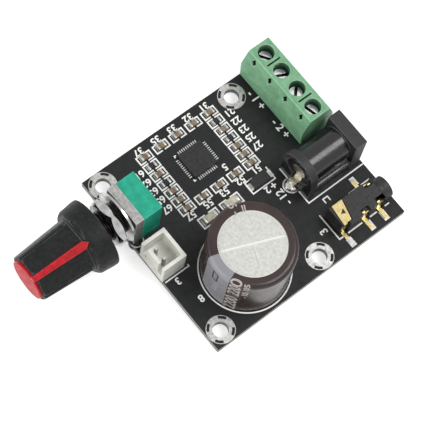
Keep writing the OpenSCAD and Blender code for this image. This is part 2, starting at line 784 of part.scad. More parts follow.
// What one pole cuts out of its block: clamp cavity, wire entry, screw well and probe hole
module pole_cuts() {
    entry_z = term_floor + 0.2;
    entry_h = bar_top - entry_z + 0.2;
    probe_z = (term_waist_h + 2 * term_h) / 3;
    probe_y = -term_d / 2 + term_top_inset * 2 / 3;
    slope = atan(term_top_inset / (term_h - term_waist_h));
    cavity_depth = term_cavity_rear - term_cavity_front;
    pin_room = 0.05;
    bar([2 * cavity_half_w, cavity_depth, term_cavity_top - term_floor], term_cavity_front, term_floor);
    bar([entry_w, term_d, entry_h], 0, entry_z);
    translate([0, 0, term_cavity_top - slop]) cylinder(d = screw_d + 2 * screw_room, h = term_h);
    translate([0, 0, head_z]) cylinder(d = well_d, h = term_h);
    translate([0, pin_strip_y, 0])
        block([term_pin_w + 2 * pin_room, pin_strip_t + 2 * pin_room, term_floor + 2 * slop], -slop);
    translate([0, probe_y, probe_z]) rotate([90 - slope, 0, 0]) translate([0, 0, -probe_depth])
        linear_extrude(probe_depth + 2 * slop) polygon([
            [0, probe_half_h], [probe_half_w, 0], [0, -probe_half_h], [-probe_half_w, 0]
        ]);
}

// Two-pole block whose first pole has the given number
module terminal_block(first) {
    color([0.42, 0.72, 0.5]) on_board(0, term_y) difference() {
        translate([pole_x(first) + pole_pitch / 2, 0, 0]) along_x(2 * pole_pitch) terminal_outline();
        for (i = [first, first + 1]) translate([pole_x(i), 0, 0]) pole_cuts();
        translate([pole_x(first) + pole_pitch / 2, 0, 0])
            bar([divider_w, well_d, divider_depth + slop], -well_d / 2, term_h - divider_depth);
    }
}

module terminal_block_left() {
    terminal_block(0);
}

module terminal_block_right() {
    terminal_block(2);
}

// Slotted screw that turns in place, with its tip just above the contact bar
module terminal_screw(i) {
    slot_w = 0.6;
    slot_depth = 0.6;
    color([0.8, 0.8, 0.8]) on_board(pole_x(i), term_y) difference() {
        union() {
            translate([0, 0, head_z]) cylinder(d = screw_head_d, h = screw_head_t);
            translate([0, 0, bar_top + fit]) cylinder(d = screw_d, h = head_z - bar_top - fit + slop);
        }
        rotate([0, 0, slot_angles[i]])
            block([well_d, slot_w, screw_head_t], head_z + screw_head_t - slot_depth);
    }
}

module terminal_screw_1() {
    terminal_screw(0);
}

module terminal_screw_2() {
    terminal_screw(1);
}

module terminal_screw_3() {
    terminal_screw(2);
}

module terminal_screw_4() {
    terminal_screw(3);
}

// Cage that climbs its screw and lifts the wire against the contact bar
module terminal_clamp(i) {
    cage_h = clamp_top_z - clamp_rest;
    window = [clamp_w - 2 * clamp_wall, clamp_d + 2 * slop, cage_h - clamp_wall - clamp_top];
    color([0.75, 0.75, 0.72]) on_board(pole_x(i), term_y) difference() {
        block([clamp_w, clamp_d, cage_h], clamp_rest);
        block(window, clamp_rest + clamp_wall);
        translate([0, 0, clamp_rest + clamp_wall]) cylinder(d = screw_d + 2 * fit, h = cage_h);
    }
}

module terminal_clamp_1() {
    terminal_clamp(0);
}

module terminal_clamp_2() {
    terminal_clamp(1);
}

module terminal_clamp_3() {
    terminal_clamp(2);
}

module terminal_clamp_4() {
    terminal_clamp(3);
}

// Fixed bars that the wires are pressed against, each bent down into its solder pin
module terminal_contacts() {
    bar_front = pin_strip_y - pin_strip_t / 2;
    color([0.8, 0.78, 0.7]) on_board() for (i = [0 : pole_count - 1]) {
        translate([pole_x(i), term_y, 0])
            bar([2 * bar_half_w, clamp_d / 2 - bar_front, bar_t], bar_front, bar_z);
        lead_run(terminal_leads[i], bar_z + bar_t / 2);
    }
}

// Upright wall with a round top, drawn in X and Z
module arch(width) {
    translate([0, dc_axis_h]) circle(d = width);
    translate([-width / 2, 0]) square([width, dc_axis_h]);
}

// Room for the contact strips in the socket's floor and for the tab in its rear face
module power_strip_cuts() {
    trough = [dc_spring_w + 2 * touch, dc_switch_y - dc_spring_y + dc_trough_room, dc_bore_r];
    tab_slot = [dc_tab_w + 2 * dc_tab_room, dc_chamber + slop, dc_axis_h - dc_shelf_z + dc_tab_room];
    bar(trough, dc_spring_y - touch, dc_spring_z - dc_trough_room / 4);
    for (y = [dc_spring_y, dc_switch_y])
        bar([dc_leg_w + 2 * touch, dc_strip_t + 2 * touch, dc_axis_h], y - touch, -slop);
    bar(tab_slot, -slop, dc_shelf_z - dc_tab_room);
}

module power_housing() {
    mid_len = dc_len - dc_flange_len;
    color([0.1, 0.1, 0.1]) on_board(dc_mid_x, dc_y) difference() {
        union() {
            bar([dc_w, dc_flange_len, dc_h], mid_len);
            along_y(mid_len + slop) arch(dc_barrel_d);
            bar([dc_w - 2 * dc_base_inset, mid_len + slop, dc_base_h]);
            along_y(dc_collar_len) arch(dc_w);
        }
        translate([0, dc_floor_y, dc_axis_h]) rotate([-90, 0, 0]) cylinder(r = dc_bore_r, h = dc_len);
        translate([0, -slop, dc_axis_h]) rotate([-90, 0, 0]) cylinder(r = dc_bore_r, h = dc_chamber + slop);
        translate([0, 0, dc_axis_h]) rotate([-90, 0, 0]) cylinder(d = dc_pin_d + 2 * touch, h = dc_len);
        power_strip_cuts();
    }
}

module power_pin() {
    color([0.82, 0.8, 0.72]) on_board(dc_mid_x, dc_y, dc_axis_h) rotate([-90, 0, 0]) {
        translate([0, 0, dc_chamber - dc_strip_t - rivet_t]) cylinder(r = rivet_r, h = rivet_t);
        translate([0, 0, dc_chamber - dc_strip_t - slop / 2])
            cylinder(d = dc_pin_d, h = dc_len - dc_pin_recess - dc_chamber + dc_strip_t + slop / 2);
    }
}

// Strip with an eye under the rivet, bent out of the rear recess and down into the board
module power_rear_tab() {
    plate_y = dc_chamber - dc_strip_t;
    plate_h = dc_axis_h - dc_shelf_z;
    color([0.82, 0.8, 0.72]) {
        on_board(dc_mid_x, dc_y) difference() {
            union() {
                bar([dc_tab_w, dc_strip_t, plate_h], plate_y, dc_shelf_z);
                bar([dc_tab_w, dc_chamber - dc_tab_y, dc_strip_t], dc_tab_y, dc_shelf_z);
                translate([0, plate_y, dc_axis_h]) rotate([-90, 0, 0]) cylinder(r = dc_eye_r, h = dc_strip_t);
            }
            translate([0, 0, dc_axis_h]) rotate([-90, 0, 0]) cylinder(d = dc_pin_d + 2 * touch, h = dc_len);
        }
        on_board() lead_run(dc_leads[0], dc_shelf_z + dc_strip_t / 2);
    }
}

// Spring that bears on the plug's sleeve, humped in the middle
module power_spring() {
    spring_len = dc_switch_y - dc_spring_y + 1;
    tip_z = dc_spring_z + 0.1;
    hump_z = dc_spring_z + dc_hump;
    color([0.82, 0.8, 0.72]) {
        on_board(dc_mid_x, dc_y + dc_spring_y) along_x(dc_spring_w) polygon([
            [0, dc_spring_z], [spring_len / 2, hump_z], [spring_len, tip_z], [spring_len, tip_z + dc_strip_t],
            [spring_len / 2, hump_z + dc_strip_t], [0, dc_spring_z + dc_strip_t]
        ]);
        on_board() lead_run(dc_leads[1], dc_spring_z + dc_strip_t / 2);
    }
}

// Post that the spring rests on while no plug is in
module power_switch_contact() {
    color([0.82, 0.8, 0.72]) on_board() lead_run(dc_leads[2], dc_spring_z - 0.1);
}

// Outline of the top plate, wider at its left end
module audio_plate_outline(room = 0) {
    left_y = aj_plate_y + aj_plate_skew;
    polygon([
        [aj_plate_left - room, left_y - room], [aj_plate_right + room, aj_plate_y - room],
        [aj_plate_right + room, aj_plate_y + aj_plate_right_len + room],
        [aj_plate_left - room, left_y + aj_plate_left_len + room]
    ]);
}

// Pocket for a side contact, wider above the plug's hole, where the contact curls inwards
module audio_pocket() {
    length = aj_riser_rear - aj_riser_front + 2 * aj_curl_room;
    curl_x = aj_riser_x + aj_strip_t - 2 * aj_curl_r - aj_curl_room;
    translate([aj_pocket_x, aj_riser_front - aj_curl_room, -slop]) cube([aj_w, length, aj_h + 2 * slop]);
    translate([curl_x, aj_riser_front - aj_curl_room, aj_riser_h - touch]) cube([aj_w, length, aj_h]);
}

module audio_housing() {
    length = aj_body_len + aj_nose_len;
    color([0.1, 0.1, 0.1]) on_board(aj_x, aj_y) difference() {
        union() {
            bar([aj_w, aj_body_len, aj_h]);
            translate([0, aj_body_len - slop, aj_axis_h]) rotate([-90, 0, 0])
                cylinder(d = aj_nose_d, h = aj_nose_len + slop);
        }
        translate([0, length - aj_bore_depth, aj_axis_h]) rotate([-90, 0, 0])
            cylinder(d = aj_bore_d, h = aj_bore_depth + slop);
        translate([0, 0, aj_h - aj_plate_sink - aj_strip_t])
            linear_extrude(aj_h) audio_plate_outline(aj_plate_room);
        translate([aj_plate_right - touch, -slop, -slop])
            cube([aj_w, aj_link_y + aj_link_w + 2 * slop, aj_h + 2 * slop]);
        for (place = aj_side_places)
            translate([0, place[0], 0]) rotate([0, 0, place[1]]) audio_pocket();
    }
}

// Pierced plate in the body's rear top with a link down the rear corner to a foot on the board
module audio_top_contact() {
    top = aj_h - aj_plate_sink;
    color([0.85, 0.68, 0.35]) on_board(aj_x, aj_y) {
        translate([0, 0, top - aj_strip_t]) linear_extrude(aj_strip_t) difference() {
            audio_plate_outline();
            translate([aj_plate_hole_x, aj_plate_hole_y])
                polygon(aj_plate_hole_r * [[-1, 0.7], [1, 0.5], [0.25, -1.2]]);
        }
        translate([aj_plate_right - touch, aj_link_y, 0]) {
            cube([aj_strip_t, aj_link_w, top]);
            cube([aj_foot_reach, aj_link_w, aj_strip_t]);
            translate([0, -aj_link_y, aj_wing_z])
                cube([aj_strip_t, aj_link_y + aj_link_w + aj_wing_over, aj_link_w]);
        }
    }
}

// Side contact: an upright plate in its pocket, curled inwards at one end, with a foot on the board
module audio_side_contact() {
    translate([aj_riser_x, aj_riser_front, 0])
        cube([aj_strip_t, aj_riser_rear - aj_riser_front, aj_riser_h]);
    translate([0, aj_riser_front + aj_curl_w, 0]) rotate([90, 0, 0]) linear_extrude(aj_curl_w)
        translate([aj_riser_x + aj_strip_t - aj_curl_r, aj_riser_h]) difference() {
            circle(r = aj_curl_r);
            circle(r = aj_curl_r - aj_strip_t);
            translate([-aj_h / 2, -aj_h]) square([aj_h, aj_h]);
        }
    translate([aj_riser_x, -aj_side_foot_w / 2, 0]) cube([aj_side_foot_reach, aj_side_foot_w, aj_strip_t]);
}

module audio_side_contacts() {
    color([0.85, 0.68, 0.35]) on_board(aj_x, aj_y) for (place = aj_side_places)
        translate([0, place[0], 0]) rotate([0, 0, place[1]]) audio_side_contact();
}

// Square ring of terminals that the chip's body is notched for
module chip_lead_ring(room = 0) {
    first = -(chip_side_count - 1) / 2 * chip_pitch;
    for (side = [0 : 3], i = [0 : chip_side_count - 1])
        rotate([0, 0, side * 90]) translate([first + i * chip_pitch, chip_w / 2 - chip_lead_len / 2, 0])
            block([chip_lead_w + 2 * room, chip_lead_len + 2 * room, chip_lead_t + room]);
}

module amplifier_chip() {
    color([0.16, 0.16, 0.17]) on_board(chip_place[0], chip_place[1]) difference() {
        block([chip_w, chip_w, chip_t]);
        translate([0, 0, -touch]) chip_lead_ring(touch);
    }
}

module amplifier_chip_leads() {
    color([0.8, 0.8, 0.8]) on_board(chip_place[0], chip_place[1]) chip_lead_ring();
}

// Middle of a chip part between its two ends
module chip_middle(size, end) {
    block([size[0], size[1] - 2 * end, size[2]]);
}

// Two end caps of a chip part
module chip_end_caps(size, end) {
    for (side = [-1, 1]) translate([0, side * (size[1] - end) / 2, 0]) block([size[0], end, size[2]]);
}

module chip_capacitors() {
    color([0.62, 0.48, 0.34]) for (place = small_cap_places)
        on_board(place[0], place[1]) chip_middle([small_w, small_len, small_cap_h], end_len);
}

module chip_resistors() {
    color([0.1, 0.1, 0.1]) for (place = small_res_places)
        on_board(place[0], place[1]) chip_middle([small_w, small_len, small_res_h], end_len);
}

module chip_ends() {
    color([0.78, 0.78, 0.77]) {
        for (place = small_cap_places)
            on_board(place[0], place[1]) chip_end_caps([small_w, small_len, small_cap_h], end_len);
        for (place = small_res_places)
            on_board(place[0], place[1]) chip_end_caps([small_w, small_len, small_res_h], end_len);
    }
}

module large_capacitors() {
    color([0.62, 0.48, 0.34]) for (place = large_places)
        on_board(place[0], place[1]) chip_middle([large_w, large_len, large_h], large_end_len);
}

module large_capacitor_ends() {
    color([0.78, 0.78, 0.77]) for (place = large_places)
        on_board(place[0], place[1]) chip_end_caps([large_w, large_len, large_h], large_end_len);
}

// Moulded body whose long sides lean in from the parting line up
module diode_body() {
    lean = 0.15;
    half = diode_w / 2;
    color([0.1, 0.1, 0.1]) on_board(diode_place[0], diode_place[1])
        along_y(diode_len, -diode_len / 2) polygon([
            [-half + lean, 0], [-half, diode_h / 2], [-half + lean, diode_h],
            [half - lean, diode_h], [half, diode_h / 2], [half - lean, 0]
        ]);
}

module diode_leads() {
    lead_t = 0.25;
    color([0.8, 0.8, 0.8]) on_board(diode_place[0], diode_place[1]) for (side = [-1, 1])
        translate([0, side * (diode_len + diode_lead_len) / 2, 0])
            block([diode_lead_w, diode_lead_len, lead_t]);
}

circuit_board();
solder_joints();
pot_frame();
pot_bushing();
pot_housing();
pot_shaft();
pot_rotor();
pot_wiper();
pot_track();
pot_pins();
pot_washer();
pot_nut();
knob_body();
knob_pointer();
header_housing();
header_pins();
capacitor_can();
capacitor_sleeve();
capacitor_seal();
capacitor_leads();
terminal_block_left();
terminal_block_right();
terminal_screw_1();
terminal_screw_2();
terminal_screw_3();
terminal_screw_4();
terminal_clamp_1();
terminal_clamp_2();
terminal_clamp_3();
terminal_clamp_4();
terminal_contacts();
power_housing();
power_pin();
power_rear_tab();
power_spring();
power_switch_contact();
audio_housing();
audio_top_contact();
audio_side_contacts();
amplifier_chip();
amplifier_chip_leads();
chip_capacitors();
chip_resistors();
chip_ends();
large_capacitors();
large_capacitor_ends();
diode_body();
diode_leads();
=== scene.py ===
# %% [markdown]
# # A small stereo amplifier board
# The board carries a volume knob, two green screw terminals, a power socket, an audio socket, a large
# capacitor and a cluster of chips. The solids arrive packed at their real size and are never moved here.
# This lesson gives them their finishes and adds what is too fine for the solids: the white print, the tinned
# pads, the solder, the thread on the bushing and rolled edges on the mouldings.

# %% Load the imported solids
import json
import math

import bmesh
import bpy
from mathutils import Matrix, Vector

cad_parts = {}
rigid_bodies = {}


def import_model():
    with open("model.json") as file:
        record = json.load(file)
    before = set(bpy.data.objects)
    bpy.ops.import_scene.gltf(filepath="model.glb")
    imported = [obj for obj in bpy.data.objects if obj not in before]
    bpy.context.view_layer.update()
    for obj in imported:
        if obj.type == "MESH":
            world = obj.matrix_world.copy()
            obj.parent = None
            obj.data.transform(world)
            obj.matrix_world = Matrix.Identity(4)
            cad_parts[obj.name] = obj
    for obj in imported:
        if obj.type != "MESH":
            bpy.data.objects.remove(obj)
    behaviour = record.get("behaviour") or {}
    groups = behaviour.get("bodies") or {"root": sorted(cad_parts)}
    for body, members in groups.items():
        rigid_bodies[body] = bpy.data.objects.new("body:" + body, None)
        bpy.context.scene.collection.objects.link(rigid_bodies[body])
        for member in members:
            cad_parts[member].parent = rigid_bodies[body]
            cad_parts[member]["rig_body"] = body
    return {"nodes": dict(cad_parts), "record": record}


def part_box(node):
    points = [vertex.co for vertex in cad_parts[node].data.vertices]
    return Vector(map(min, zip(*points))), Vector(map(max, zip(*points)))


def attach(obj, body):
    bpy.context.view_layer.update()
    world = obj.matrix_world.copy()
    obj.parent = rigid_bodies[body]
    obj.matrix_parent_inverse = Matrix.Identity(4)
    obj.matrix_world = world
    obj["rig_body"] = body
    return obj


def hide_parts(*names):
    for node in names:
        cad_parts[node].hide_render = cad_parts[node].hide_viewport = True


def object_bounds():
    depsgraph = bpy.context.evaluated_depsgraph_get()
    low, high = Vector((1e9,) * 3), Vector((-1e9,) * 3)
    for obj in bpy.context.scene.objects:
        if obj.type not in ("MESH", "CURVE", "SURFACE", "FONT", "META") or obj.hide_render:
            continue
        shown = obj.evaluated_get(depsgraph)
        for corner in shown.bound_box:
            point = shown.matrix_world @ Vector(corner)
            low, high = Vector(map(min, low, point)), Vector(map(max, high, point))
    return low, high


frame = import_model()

nodes = frame["nodes"]
cad_low, cad_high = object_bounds()
print("solids:", len(nodes), "size in mm:", [round(1000 * side, 1) for side in cad_high - cad_low])

# %% [markdown]
# ## Where things are
# Everything sits on the board, so places are written as a board maker writes them: millimetres from the
# front left corner, along the knob edge and then towards the connectors. One helper turns such a place
# into metres. Another finds the separate solids in a node, so that pads and print follow the chips and leads
# instead of a second list of numbers.

# %% Places on the board
MM = 0.001
WELD = 1e-6
board_low, board_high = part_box("circuit_board")
BOARD_T = (board_high.z - board_low.z) / MM


def spot(x, y, z=0.0):
    """A point in metres, given in millimetres from the front left corner of the board's top face."""
    return Vector((board_low.x + x * MM, board_low.y + y * MM, board_high.z + z * MM))


def on_board(point):
    """The reverse of spot: a point in metres as millimetres on the board."""
    return (Vector(point) - Vector((board_low.x, board_low.y, board_high.z))) / MM


def board_box(name):
    """Lowest and highest corner of a node, in millimetres on the board."""
    return tuple(map(on_board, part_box(name)))


def middle(ends):
    """The middle between a lowest and a highest corner."""
    return (ends[0] + ends[1]) / 2


def merged_copy(name):
    """A CAD node's triangles as an editable mesh with its loose corners joined."""
    bm = bmesh.new()
    bm.from_mesh(nodes[name].data)
    bmesh.ops.remove_doubles(bm, verts=bm.verts, dist=WELD)
    return bm


def islands(name):
    """The box of each separate solid in a node, in millimetres on the board."""
    bm = merged_copy(name)
    waiting = set(bm.verts)
    found = []
    while waiting:
        todo = [waiting.pop()]
        corners = []
        while todo:
            vert = todo.pop()
            corners.append(on_board(vert.co))
            near = {edge.other_vert(vert) for edge in vert.link_edges} & waiting
            waiting -= near
            todo.extend(near)
        found.append((Vector(map(min, *corners)), Vector(map(max, *corners))))
    bm.free()
    return sorted(found, key=lambda ends: tuple(ends[0]))


chip_boxes = islands("chip_capacitors") + islands("chip_resistors")
large_boxes = islands("large_capacitors")
joint_boxes = islands("solder_joints")
print("chips:", len(chip_boxes), "large chips:", len(large_boxes), "soldered leads:", len(joint_boxes))

# %% [markdown]
# ## Camera
# The photograph looks down steeply from the front right corner, with the board turned in the frame. The
# camera is written as a photographer would say it: what it points at, from which bearing and height, how far
# away and how far rolled. A long lens keeps the board's edges almost parallel.

# %% Camera at the photograph's angle
AIM = spot(21.22, 17.58)
BEARING = math.radians(37.67)
HEIGHT = math.radians(68.12)
ROLL = math.radians(14.58)
AWAY = 377.2 * MM
LENS = 155.15
SENSOR = 36
NEAREST = 0.01


def put(name, data):
    """Adds an object to the scene."""
    made = bpy.data.objects.new(name, data)
    bpy.context.scene.collection.objects.link(made)
    return made


camera = put("camera", bpy.data.cameras.new("camera"))
camera.data.lens = LENS
camera.data.sensor_width = SENSOR
camera.data.clip_start = NEAREST
camera.matrix_world = (
    Matrix.Translation(AIM) @ Matrix.Rotation(BEARING, 4, "Z") @ Matrix.Rotation(math.pi / 2 - HEIGHT, 4, "X")
    @ Matrix.Rotation(ROLL, 4, "Z") @ Matrix.Translation((0, 0, AWAY))
)
bpy.context.scene.camera = camera
bpy.context.scene.view_settings.view_transform = "Standard"
print("camera at", [round(c, 4) for c in camera.matrix_world.translation])

# %% [markdown]
# ## Building node trees
# Materials and Geometry Nodes are both trees of nodes. One helper adds a node and links or fills its inputs,
# and short ones add the commonest nodes, so that a tree below reads as a list of what feeds what.

# %% Helpers that add nodes


def add_node(tree, kind, inputs=None, **options):
    """Adds a node and links or fills its inputs; a node given there means its first output."""
    made = tree.nodes.new(kind)
    for name, value in options.items():
        setattr(made, name, value)
    for name, value in (inputs or {}).items():
        value = value.outputs[0] if isinstance(value, bpy.types.Node) else value
        if isinstance(value, bpy.types.NodeSocket):
            tree.links.new(value, made.inputs[name])
        else:
            made.inputs[name].default_value = value
    return made


def calc(tree, operation, first, second=0.0, clamp=False):
    """One step of arithmetic in a node tree."""
    step = add_node(tree, "ShaderNodeMath", {0: first, 1: second}, operation=operation, use_clamp=clamp)
    return step.outputs[0]


def remap(tree, value, span, to=(0.0, 1.0)):
    """Moves a value from one span to another."""
    return add_node(tree, "ShaderNodeMapRange", {
        "Value": value, "From Min": span[0], "From Max": span[1], "To Min": to[0], "To Max": to[1],
    }).outputs[0]


def combine(tree, x=0.0, y=0.0, z=0.0):
    """Three numbers as one vector."""
    return add_node(tree, "ShaderNodeCombineXYZ", {"X": x, "Y": y, "Z": z}).outputs[0]


def split(tree, vector):
    """The X, Y and Z of a vector."""
    return add_node(tree, "ShaderNodeSeparateXYZ", {0: vector}).outputs


def empty_tree(owner):
    """The node tree of a material or of the surroundings, emptied."""
    owner.use_nodes = True
    owner.node_tree.nodes.clear()
    return owner.node_tree


# %% [markdown]
# ## Studio
# The board lies on white paper under a softbox, with a wide lamp near the knob and pale light all round.
# More light would whiten the paper but bleach the board too. Instead the paper and the surroundings glow a
# little for rays from the camera, a gloss or glass, and the paper still takes the board's shadow.

# %% Paper, surroundings and lamps
PAPER_SIZE = 3.0
PAPER_GREY = (0.8, 0.8, 0.8, 1)
PAPER_GLOW = 0.6
SOFT_LIGHT = 0.32


def seen_directly(tree):
    """1 for rays from the camera, a gloss or glass, and 0 for soft light."""
    path = add_node(tree, "ShaderNodeLightPath").outputs
    either = calc(tree, "ADD", path["Is Camera Ray"], path["Is Glossy Ray"])
    return calc(tree, "ADD", either, path["Is Transmission Ray"], clamp=True)


def make_paper():
    paper = bpy.data.materials.new("studio_paper")
    tree = empty_tree(paper)
    matt = add_node(tree, "ShaderNodeBsdfDiffuse", {"Color": PAPER_GREY})
    strength = calc(tree, "MULTIPLY", seen_directly(tree), PAPER_GLOW)
    glow = add_node(tree, "ShaderNodeEmission", {"Strength": strength})
    both = add_node(tree, "ShaderNodeAddShader", {0: matt, 1: glow})
    add_node(tree, "ShaderNodeOutputMaterial", {"Surface": both})
    mesh = bpy.data.meshes.new("paper")
    corners = [(x * PAPER_SIZE, y * PAPER_SIZE, cad_low.z) for x, y in ((-1, -1), (1, -1), (1, 1), (-1, 1))]
    mesh.from_pydata(corners, [], [(0, 1, 2, 3)])
    mesh.materials.append(paper)
    put("paper", mesh)


def light_surroundings():
    world = bpy.data.worlds.new("studio")
    bpy.context.scene.world = world
    tree = empty_tree(world)
    strength = remap(tree, seen_directly(tree), (0.0, 1.0), (SOFT_LIGHT, 1.0))
    sky = add_node(tree, "ShaderNodeBackground", {"Color": (1, 1, 1, 1), "Strength": strength})
    add_node(tree, "ShaderNodeOutputWorld", {"Surface": sky})


def hang_lamp(name, direction, away, width, depth, watts):
    """A softbox that faces the middle of the board."""
    lamp = bpy.data.lights.new(name, "AREA")
    lamp.shape = "RECTANGLE"
    lamp.size = width
    lamp.size_y = depth
    lamp.energy = watts
    towards = Vector(direction).normalized()
    turn = towards.to_track_quat("Z", "Y").to_matrix().to_4x4()
    put(name, lamp).matrix_world = Matrix.Translation(AIM + towards * away) @ turn


make_paper()
light_surroundings()
hang_lamp("key_softbox", (0.33, 0.3, 0.9), away=0.5, width=0.36, depth=0.2, watts=1.5)
hang_lamp("front_fill", (-0.3, -0.85, 0.5), away=0.6, width=0.5, depth=0.5, watts=2.4)
print("lamps:", sorted(light.name for light in bpy.data.lights))

# %% [markdown]
# ## Shared surface effects
# Three effects return on many pieces. Moulded and lacquered surfaces have a fine grain. Drawn, rolled or
# turned metal has streaks along one direction. Rolled edges get a painted highlight, paler in patches.
# Each is a shader group with named inputs that puts out a tone for colour and gloss and a height for the bump.

# %% Shader groups: grain, streaks and painted edge highlights
EDGE_MARK = "edge"
CONTRAST = (0.3, 0.7)


def new_group(name, inputs):
    """A shader group with number inputs, Tone and Height as outputs, and the place on the piece."""
    group = bpy.data.node_groups.new(name, "ShaderNodeTree")
    for label, value in inputs.items():
        group.interface.new_socket(label, in_out="INPUT", socket_type="NodeSocketFloat").default_value = value
    for label in ("Tone", "Height"):
        group.interface.new_socket(label, in_out="OUTPUT", socket_type="NodeSocketFloat")
    place = add_node(group, "ShaderNodeTexCoord").outputs["Object"]
    return group, add_node(group, "NodeGroupInput").outputs, place


def noise(tree, place, scale, detail):
    """Soft random patches."""
    made = add_node(tree, "ShaderNodeTexNoise", {"Vector": place, "Scale": scale, "Detail": detail})
    return made.outputs["Fac"]


def make_grain_group():
    """Soft blotches for colour and a finer pebble for the bump."""
    group, given, place = new_group("moulded_grain", {"Scale": 900.0, "Fineness": 8.0})
    blotch = noise(group, place, given["Scale"], 4.0)
    pebble = noise(group, place, calc(group, "MULTIPLY", given["Scale"], given["Fineness"]), 2.0)
    add_node(group, "NodeGroupOutput", {"Tone": remap(group, blotch, CONTRAST), "Height": pebble})
    return group


def make_streak_group():
    """Lines along one axis: the axis with the smallest number is the direction of the lines."""
    group, given, place = new_group("drawn_streaks", {"Along X": 6000.0, "Along Y": 500.0, "Along Z": 6000.0})
    scale = combine(group, *[given["Along " + axis] for axis in "XYZ"])
    spread = add_node(group, "ShaderNodeVectorMath", {0: place, 1: scale}, operation="MULTIPLY")
    lines = noise(group, spread, 1.0, 3.0)
    add_node(group, "NodeGroupOutput", {"Tone": remap(group, lines, CONTRAST), "Height": lines})
    return group


def make_rubbed_group():
    """Painted highlight, paler in patches, along the faces that carry the edge mark."""
    group, given, place = new_group("painted_edge_highlights", {"Scale": 1500.0, "Amount": 0.6})
    marked = add_node(group, "ShaderNodeAttribute", attribute_name=EDGE_MARK).outputs["Fac"]
    highlight_patches = remap(group, noise(group, place, given["Scale"], 2.0), (0.25, 0.65), (0.35, 1.0))
    edge_highlight = calc(group, "MULTIPLY", calc(group, "MULTIPLY", marked, highlight_patches), given["Amount"])
    add_node(group, "NodeGroupOutput", {"Tone": edge_highlight, "Height": edge_highlight})
    return group


grain_group = make_grain_group()
streak_group = make_streak_group()
edge_highlight_group = make_rubbed_group()
print("shader groups:", [group.name for group in (grain_group, streak_group, edge_highlight_group)])

# %% [markdown]
# ## Finishes
# All finishes follow one recipe: a Principled shader whose colour and roughness wander between two values with
# the grain or the streaks, and a shallow bump. What differs is kept in two lists, so that a change of plastic
# or plating is a change of one line.

# %% A recipe for finishes
BUMP_DEPTH = 0.03 * MM
EDGE_HIGHLIGHT = 0.4
finishes = {}


def ink(colour):
    """A colour as it looks on screen, 0 to 255, as the linear values that a shader takes."""
    return (*[((part / 255 + 0.055) / 1.055) ** 2.4 for part in colour], 1.0)


def make_finish(name, dark, light, rough, grain=900.0, bump=0.2, gloss=0.5, metallic=0.0):
    """A material whose colour and roughness run between two values with its grain, or else with streaks."""
    finishes[name] = bpy.data.materials.new(name)
    tree = empty_tree(finishes[name])
    group, scale = (grain_group, {"Scale": grain}) if grain else (streak_group, {})
    tone, height = add_node(tree, "ShaderNodeGroup", scale, node_tree=group).outputs
    colour = add_node(tree, "ShaderNodeMix", {0: tone, 6: ink(dark), 7: ink(light)}, data_type="RGBA")
    relief = add_node(tree, "ShaderNodeBump", {"Strength": bump, "Distance": BUMP_DEPTH, "Height": height})
    shader = add_node(tree, "ShaderNodeBsdfPrincipled", {
        "Base Color": colour.outputs[2], "Normal": relief,
        "Roughness": remap(tree, tone, (0.0, 1.0), (rough[1], rough[0])),
        "Metallic": metallic, "Specular IOR Level": gloss,
    })
    add_node(tree, "ShaderNodeOutputMaterial", {"Surface": shader})


def overlay(name, mask, value, socket="Base Color"):
    """Lays a second colour, or another value of one input, over a finish where the mask is 1."""
    tree = finishes[name].node_tree
    shader = next(node for node in tree.nodes if node.type == "BSDF_PRINCIPLED")
    under = shader.inputs[socket].links[0].from_socket
    if socket == "Base Color":
        mixed = add_node(tree, "ShaderNodeMix", {0: mask, 6: under, 7: ink(value)}, data_type="RGBA").outputs[2]
    else:
        mixed = add_node(tree, "ShaderNodeMix", {0: mask, 2: under, 3: value}).outputs[0]
    tree.links.new(mixed, shader.inputs[socket])


# %% Plastics, lacquer and ceramic: dark and light colour, roughness, grain, bump, gloss
for name, *look, gloss in (
    ("board_mask", (17, 18, 19), (29, 30, 31), (0.4, 0.55), 600, 0.1, 0.25),
    ("pot_green", (16, 148, 120), (36, 174, 144), (0.4, 0.55), 700, 0.2, 0.4),
    ("knob_black", (30, 31, 31), (44, 45, 45), (0.36, 0.5), 1200, 0.35, 0.1),
    ("knob_red", (158, 8, 20), (196, 16, 32), (0.35, 0.5), 900, 0.2, 0.2),
    ("header_ivory", (212, 212, 203), (232, 232, 224), (0.4, 0.55), 500, 0.2, 0.4),
    ("rotor_ivory", (205, 200, 182), (226, 222, 206), (0.45, 0.6), 700, 0.2, 0.5),
    ("track_brown", (70, 42, 24), (96, 62, 38), (0.5, 0.65), 900, 0.2, 0.5),
    ("terminal_green", (106, 156, 117), (130, 180, 143), (0.4, 0.55), 600, 0.2, 0.4),
    ("sleeve_brown", (46, 34, 34), (62, 48, 47), (0.2, 0.34), 300, 0.12, 0.32),
    ("seal_rubber", (22, 22, 22), (36, 36, 36), (0.6, 0.75), 1500, 0.2, 0.3),
    ("socket_black", (20, 20, 21), (32, 32, 33), (0.15, 0.25), 900, 0.25, 0.5),
    ("audio_black", (32, 32, 32), (48, 47, 46), (0.45, 0.6), 1500, 0.4, 0.35),
    ("sleeve_print", (158, 152, 151), (190, 184, 182), (0.3, 0.45), 900, 0.2, 0.3),
    ("chip_black", (30, 30, 31), (44, 44, 44), (0.5, 0.65), 2200, 0.4, 0.3),
    ("ceramic_tan", (104, 86, 68), (144, 126, 102), (0.45, 0.6), 1400, 0.2, 0.4),
    ("ceramic_pale", (170, 163, 143), (208, 202, 184), (0.4, 0.55), 1400, 0.2, 0.4),
    # painted shadow: nearly black, for the floors of the terminals' holes and slots
    ("deep_dark", (8, 10, 9), (15, 17, 16), (0.7, 0.85), 1400, 0.2, 0.1),
    ("print_white", (240, 241, 237), (252, 252, 249), (0.6, 0.75), 2500, 0.2, 0.2),
):
    make_finish(name, *look, gloss=gloss)

